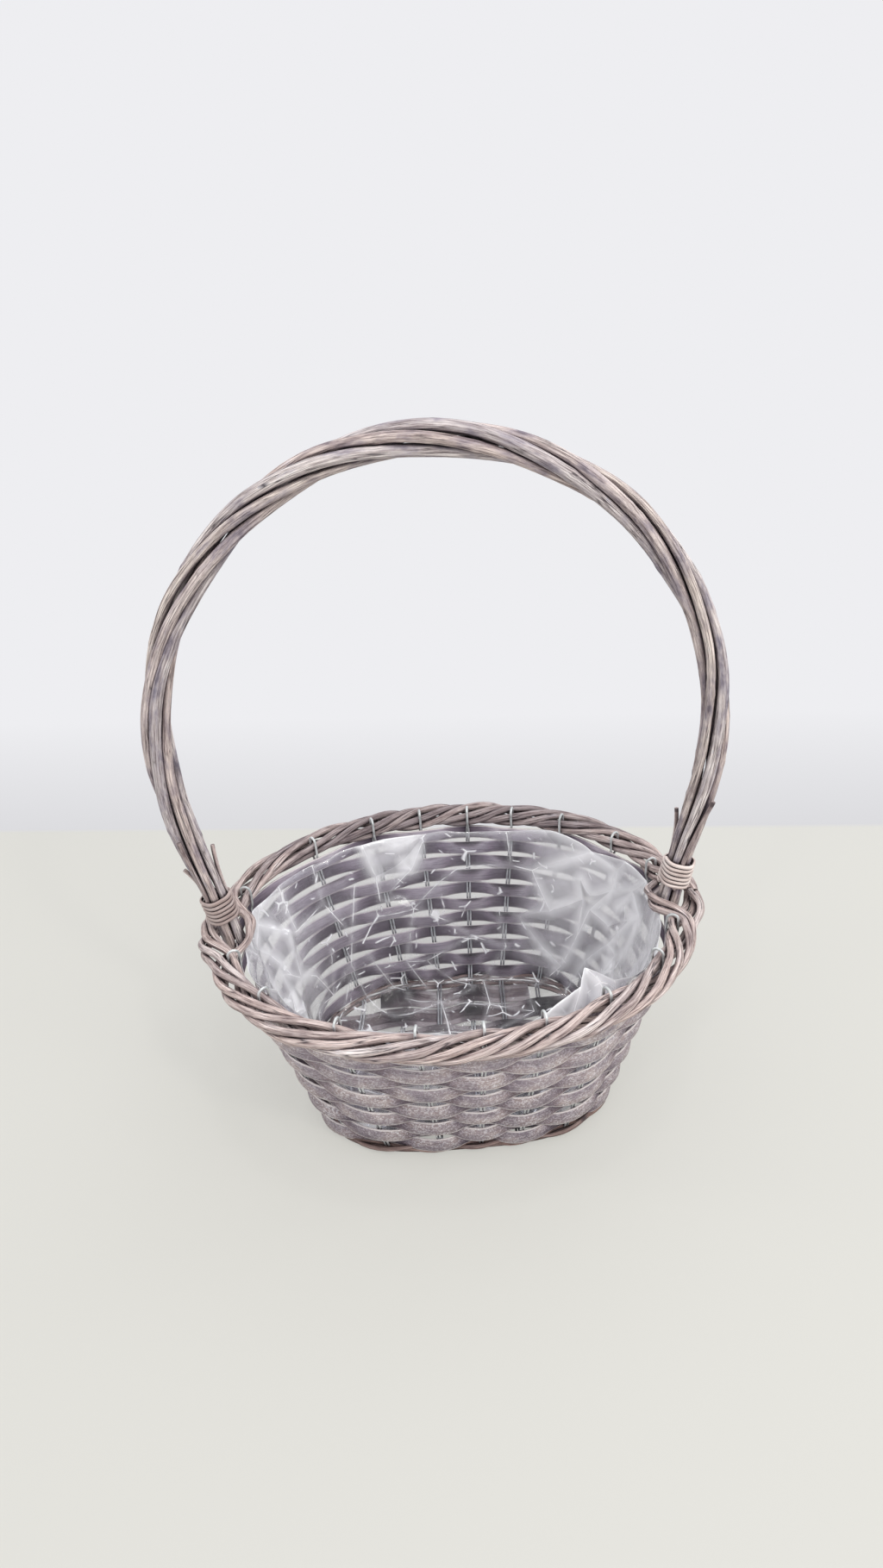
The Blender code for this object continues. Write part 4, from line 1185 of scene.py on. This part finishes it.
# The sides of the bag are triangulated unrolled, with a strip repeated past either end to close the round
def linerSides(shell, picker):
    seeds = linerSeeds(picker)
    spread = []
    owner = []
    for shift in (-1, 0, 1):
        for index, (turn, share) in enumerate(seeds):
            if -liner["wrap"] < turn + shift < 1 + liner["wrap"]:
                spread.append(Vector(((turn + shift) * liner["girth"], share * liner["depth"])))
                owner.append(index)
    insets = [picker.uniform(0.0, 1.0) ** liner["dentPower"] for _ in seeds]
    corners = []
    for (turn, share), inset in zip(seeds, insets):
        depth = liner["dent"] * inset * math.sin(math.pi * (liner["dentFrom"] + liner["dentReach"] * share))
        if share in (0.0, 1.0):
            depth *= liner["endDent"]
        if share == 1.0:
            share = 1 + picker.uniform(-liner["edgeWave"], liner["edgeWave"])
        corners.append(shell.verts.new(linerPoint(turn, share, depth)))
    for picked in triangulate(spread):
        if not 0 <= sum(spread[v].x for v in picked) / 3 < liner["girth"]:
            continue
        indices = [owner[v] for v in picked]
        if len(set(indices)) == 3 and any(seeds[v][1] != 0 for v in indices):
            shell.faces.new([corners[v] for v in indices])
    return corners[:liner["columns"]]


# The floor of the bag, facets between the sides' lower ring and scattered points
def linerGround(shell, picker, ring):
    inner = []
    for _ in range(liner["floorPoints"]):
        edge = basePoint(picker.uniform(0, oneTurn))
        inner.append(edge * (liner["floorReach"] * math.sqrt(picker.random())))
    corners = ring + [shell.verts.new((p.x, p.y, linerFloor + picker.uniform(0, liner["floorRise"]) * mm))
                      for p in inner]
    for picked in triangulate([Vector((v.co.x, v.co.y)) for v in corners]):
        shell.faces.new([corners[v] for v in picked])


# Neighbouring facets join into panels, and most folds between panels stay sharp
def linerPanels(shell, picker):
    shell.faces.index_update()
    home = list(range(len(shell.faces)))
    facets = [1] * len(home)

    def panelOf(face):
        index = face.index
        while home[index] != index:
            index = home[index]
        return index

    shared = [edge for edge in shell.edges if len(edge.link_faces) == 2]
    picker.shuffle(shared)
    for edge in shared:
        first, second = (panelOf(face) for face in edge.link_faces)
        if first != second and facets[first] + facets[second] <= liner["panelFacets"]:
            home[second] = first
            facets[first] += facets[second]
    # Each panel's random whiteness is a painted reflection, the room caught panel by panel
    whiteness = [picker.random() for _ in home]
    panel = shell.faces.layers.float.new("panel")
    for face in shell.faces:
        face[panel] = whiteness[panelOf(face)]
    crease = shell.edges.layers.float.new("crease_edge")
    for edge in shell.edges:
        edge[crease] = picker.uniform(0, liner["softCrease"])
        if edge.is_boundary:
            edge[crease] = liner["rimCrease"]
        elif len({panelOf(face) for face in edge.link_faces}) > 1 and picker.random() < liner["creased"]:
            edge[crease] = picker.uniform(liner["hardCrease"], 1.0)


def linerShell():
    picker = random.Random(liner["seed"])
    shell = bmesh.new()
    linerGround(shell, picker, linerSides(shell, picker))
    bmesh.ops.recalc_face_normals(shell, faces=shell.faces)
    linerPanels(shell, picker)
    mesh = bpy.data.meshes.new("filmFolds")
    shell.to_mesh(mesh)
    shell.free()
    return mesh


# Small crumples are pushed into the panels between the folds
def crumple(mesh):
    moves = []
    for vertex in mesh.vertices:
        place = vertex.co / liner["crumpleSize"]
        beat = noise.noise(Vector((place.x, place.y, place.z * liner["crumpleFlat"])))
        ridge = 1 - abs(beat) * liner["ridge"]
        moves.append(-vertex.normal * liner["crumple"] * max(ridge, liner["hollow"]))
    inward = sum(v.normal.dot(Vector((v.co.x, v.co.y, 0))) for v in mesh.vertices) > 0
    for vertex, move in zip(mesh.vertices, moves):
        vertex.co += move if inward else -move
        vertex.co.z = max(vertex.co.z, slatTop + liner["floorGap"] / 2)


# How far every vertex is from the nearest sharp fold
def foldDistances(mesh, sharp):
    count = liner["foldSamples"]
    samples = kdtree.KDTree(len(sharp) * count)
    for index, edge in enumerate(sharp):
        a, b = (mesh.vertices[v].co for v in edge.vertices)
        for step in range(count):
            samples.insert(a.lerp(b, step / (count - 1)), index * count + step)
    samples.balance()
    return [samples.find(vertex.co)[2] for vertex in mesh.vertices]


def makeLiner():
    folds = addObject("filmFolds", linerShell())
    rounding = folds.modifiers.new("rounding", "SUBSURF")
    rounding.levels = rounding.render_levels = liner["levels"]
    evaluated = folds.evaluated_get(bpy.context.evaluated_depsgraph_get())
    mesh = bpy.data.meshes.new_from_object(evaluated)
    mesh.name = "filmLiner"
    bpy.data.objects.remove(folds)
    creases = [value.value for value in mesh.attributes["crease_edge"].data]
    sharp = [edge for edge, crease in zip(mesh.edges, creases) if crease > liner["foldCrease"]]
    print("stage: film folds", len(sharp), "of", len(mesh.edges), "edges")
    crumple(mesh)
    values = {"fold": foldDistances(mesh, sharp),
              "milk": [linerMilk(vertex.co) for vertex in mesh.vertices]}
    for key in values:
        mesh.attributes.new(key, "FLOAT", "POINT").data.foreach_set("value", values[key])
    mesh.shade_smooth()
    mesh.set_sharp_from_angle(angle=liner["hardEdge"])
    mesh.materials.clear()
    mesh.materials.append(clearFilm)
    piece = addObject("filmLiner", mesh)
    thick = piece.modifiers.new("filmGauge", "SOLIDIFY")
    thick.thickness = liner["thickness"]
    thick.offset = 0
    return piece


filmLiner = makeLiner()
settle(filmLiner, ["film_liner"])

# Table: a pale limed board, which the wall behind it cuts off along a straight line.
# Beyond the line the same plane is the wall to the eye, so the picture has no horizon.
backdrop = {
    # foot is the painted shade at the foot of the wall
    "floor": "#e1e0da", "wall": "#eeeef1", "foot": "#dcdcdf", "board": "#cccbc5", "half": 12,
    "near": 313 * mm, "slant": -0.1285, "soft": 6 * mm, "fade": 0.25, "ease": 0.55,
}


# Camera rays, and all rays by which the backdrop is looked at: direct, mirrored or through the film
def seenRays(tree):
    rays = addNode(tree, "ShaderNodeLightPath").outputs
    seen = calculate(tree, "MAXIMUM", rays["Is Camera Ray"], rays["Is Glossy Ray"])
    return rays["Is Camera Ray"], calculate(tree, "MAXIMUM", seen, rays["Is Transmission Ray"])


# Limed board: pale, dry and matt, shown a little brighter than it is lit
def floorMaterial():
    material, tree = newMaterial("paleLimedBoard")
    turned = addNode(tree, "ShaderNodeMapping", {
        "Rotation": (0, 0, -backdrop["slant"]),
        "Vector": addNode(tree, "ShaderNodeTexCoord").outputs["Object"]})
    reach = addNode(tree, "ShaderNodeSeparateXYZ", {"Vector": turned.outputs["Vector"]}).outputs["Y"]
    near = backdrop["near"]
    far = slide(tree, reach, near, near + backdrop["soft"])
    board = addNode(tree, "ShaderNodeBsdfPrincipled", {
        "Base Color": linear(backdrop["board"]), "Roughness": 0.6, "Specular IOR Level": 0.2}).outputs[0]
    glow = addNode(tree, "ShaderNodeEmission", {
        "Color": linear(backdrop["floor"]), "Strength": 1.0}).outputs[0]
    # Painted shade: the wall is darker at its foot, where it meets the table, and pales upward over 250 mm
    shade = slide(tree, reach, near, near + backdrop["fade"])
    tone = ramp(tree, shade, ((0.0, backdrop["foot"]), (1.0, backdrop["wall"])))
    wall = addNode(tree, "ShaderNodeEmission", {"Strength": 1.0, "Color": tone}).outputs[0]
    camera, seen = seenRays(tree)
    table = mixShader(tree, calculate(tree, "MULTIPLY", camera, backdrop["ease"]), board, glow)
    both = mixShader(tree, calculate(tree, "MULTIPLY", far, seen), table, wall)
    addNode(tree, "ShaderNodeOutputMaterial", {"Surface": both})
    return material


floorMesh = bpy.data.meshes.new("paleFloor")
half = backdrop["half"]
corners = [(-half, -half, 0), (half, -half, 0), (half, half, 0), (-half, half, 0)]
floorMesh.from_pydata(corners, [], [(0, 1, 2, 3)])
floorMesh.materials.append(floorMaterial())
paleFloor = addObject("paleFloor", floorMesh)

# Light: a pale room, brighter overhead, a large soft lamp above the camera and one behind.
# The small lamps only give the film its glints. Each is a name, place, size, power and colour.
lights = {
    "room": "#f4f5fa", "low": 0.42, "high": 1.12, "aim": (0, 0, 0.15),
    "lamps": (("keyLamp", (0.9, -1.1, 1.6), 1.4, 14, "#fffdf8"),
              ("rimLamp", (0.9, 1.0, 1.4), 1.3, 5, "#f6f8ff"),
              ("glintLeft", (-0.5, -1.0, 1.1), 0.12, 1.6, "#ffffff"),
              ("glintRight", (0.55, -0.9, 1.3), 0.12, 3.0, "#fffcf2"),
              ("glintTop", (0.1, -0.2, 1.6), 0.12, 1.4, "#ffffff"),
              ("sideLeft", (-1.3, 0.1, 0.55), 0.2, 2.4, "#fffcf2"),
              ("sideRight", (1.3, 0.2, 0.6), 0.2, 1.4, "#ffffff")),
}
world = bpy.data.worlds.new("softRoom")
bpy.context.scene.world = world
world.use_nodes = True
room = world.node_tree
room.nodes.clear()
viewed = addNode(room, "ShaderNodeTexCoord").outputs["Generated"]
overhead = addNode(room, "ShaderNodeSeparateXYZ", {"Vector": viewed}).outputs["Z"]
sky = addNode(room, "ShaderNodeBackground", {
    "Color": linear(lights["room"]), "Strength": slide(room, overhead, 0, 1, lights["low"], lights["high"])})
shown = addNode(room, "ShaderNodeBackground", {"Color": linear(backdrop["wall"]), "Strength": 1.0})
skyMix = mixShader(room, seenRays(room)[1], sky.outputs[0], shown.outputs[0])
addNode(room, "ShaderNodeOutputWorld", {"Surface": skyMix})
for name, place, size, power, colour in lights["lamps"]:
    data = bpy.data.lights.new(name, "AREA")
    data.shape = "SQUARE"
    data.size = size
    data.energy = power
    data.color = linear(colour)[:3]
    lamp = addObject(name, data)
    lamp.location = place
    lamp.rotation_euler = (Vector(lights["aim"]) - Vector(place)).to_track_quat("-Z", "Y").to_euler()

# Camera where the photograph was taken from
shot = {
    "azimuth": math.radians(-1.05), "elevation": math.radians(30.8), "distance": 0.6618,
    "target": (-0.0005, 0, 0.2419), "roll": math.radians(-3.87), "lens": 24.0, "sensor": 36,
}
back = Vector((math.sin(shot["azimuth"]) * math.cos(shot["elevation"]),
               -math.cos(shot["azimuth"]) * math.cos(shot["elevation"]), math.sin(shot["elevation"])))
acrossView = (-back).cross(up).normalized()
upView = acrossView.cross(-back)
rolledAcross = math.cos(shot["roll"]) * acrossView + math.sin(shot["roll"]) * upView
rolledUp = -math.sin(shot["roll"]) * acrossView + math.cos(shot["roll"]) * upView
eye = Vector(shot["target"]) + back * shot["distance"]
cameraData = bpy.data.cameras.new("photoCamera")
cameraData.lens = shot["lens"]
cameraData.sensor_width = shot["sensor"]
camera = addObject("photoCamera", cameraData)
camera.matrix_world = Matrix((*zip(rolledAcross, rolledUp, back, eye), (0, 0, 0, 1)))
bpy.context.scene.camera = camera
bpy.context.scene.view_settings.view_transform = "Standard"
print("stage: floor, light and camera set")
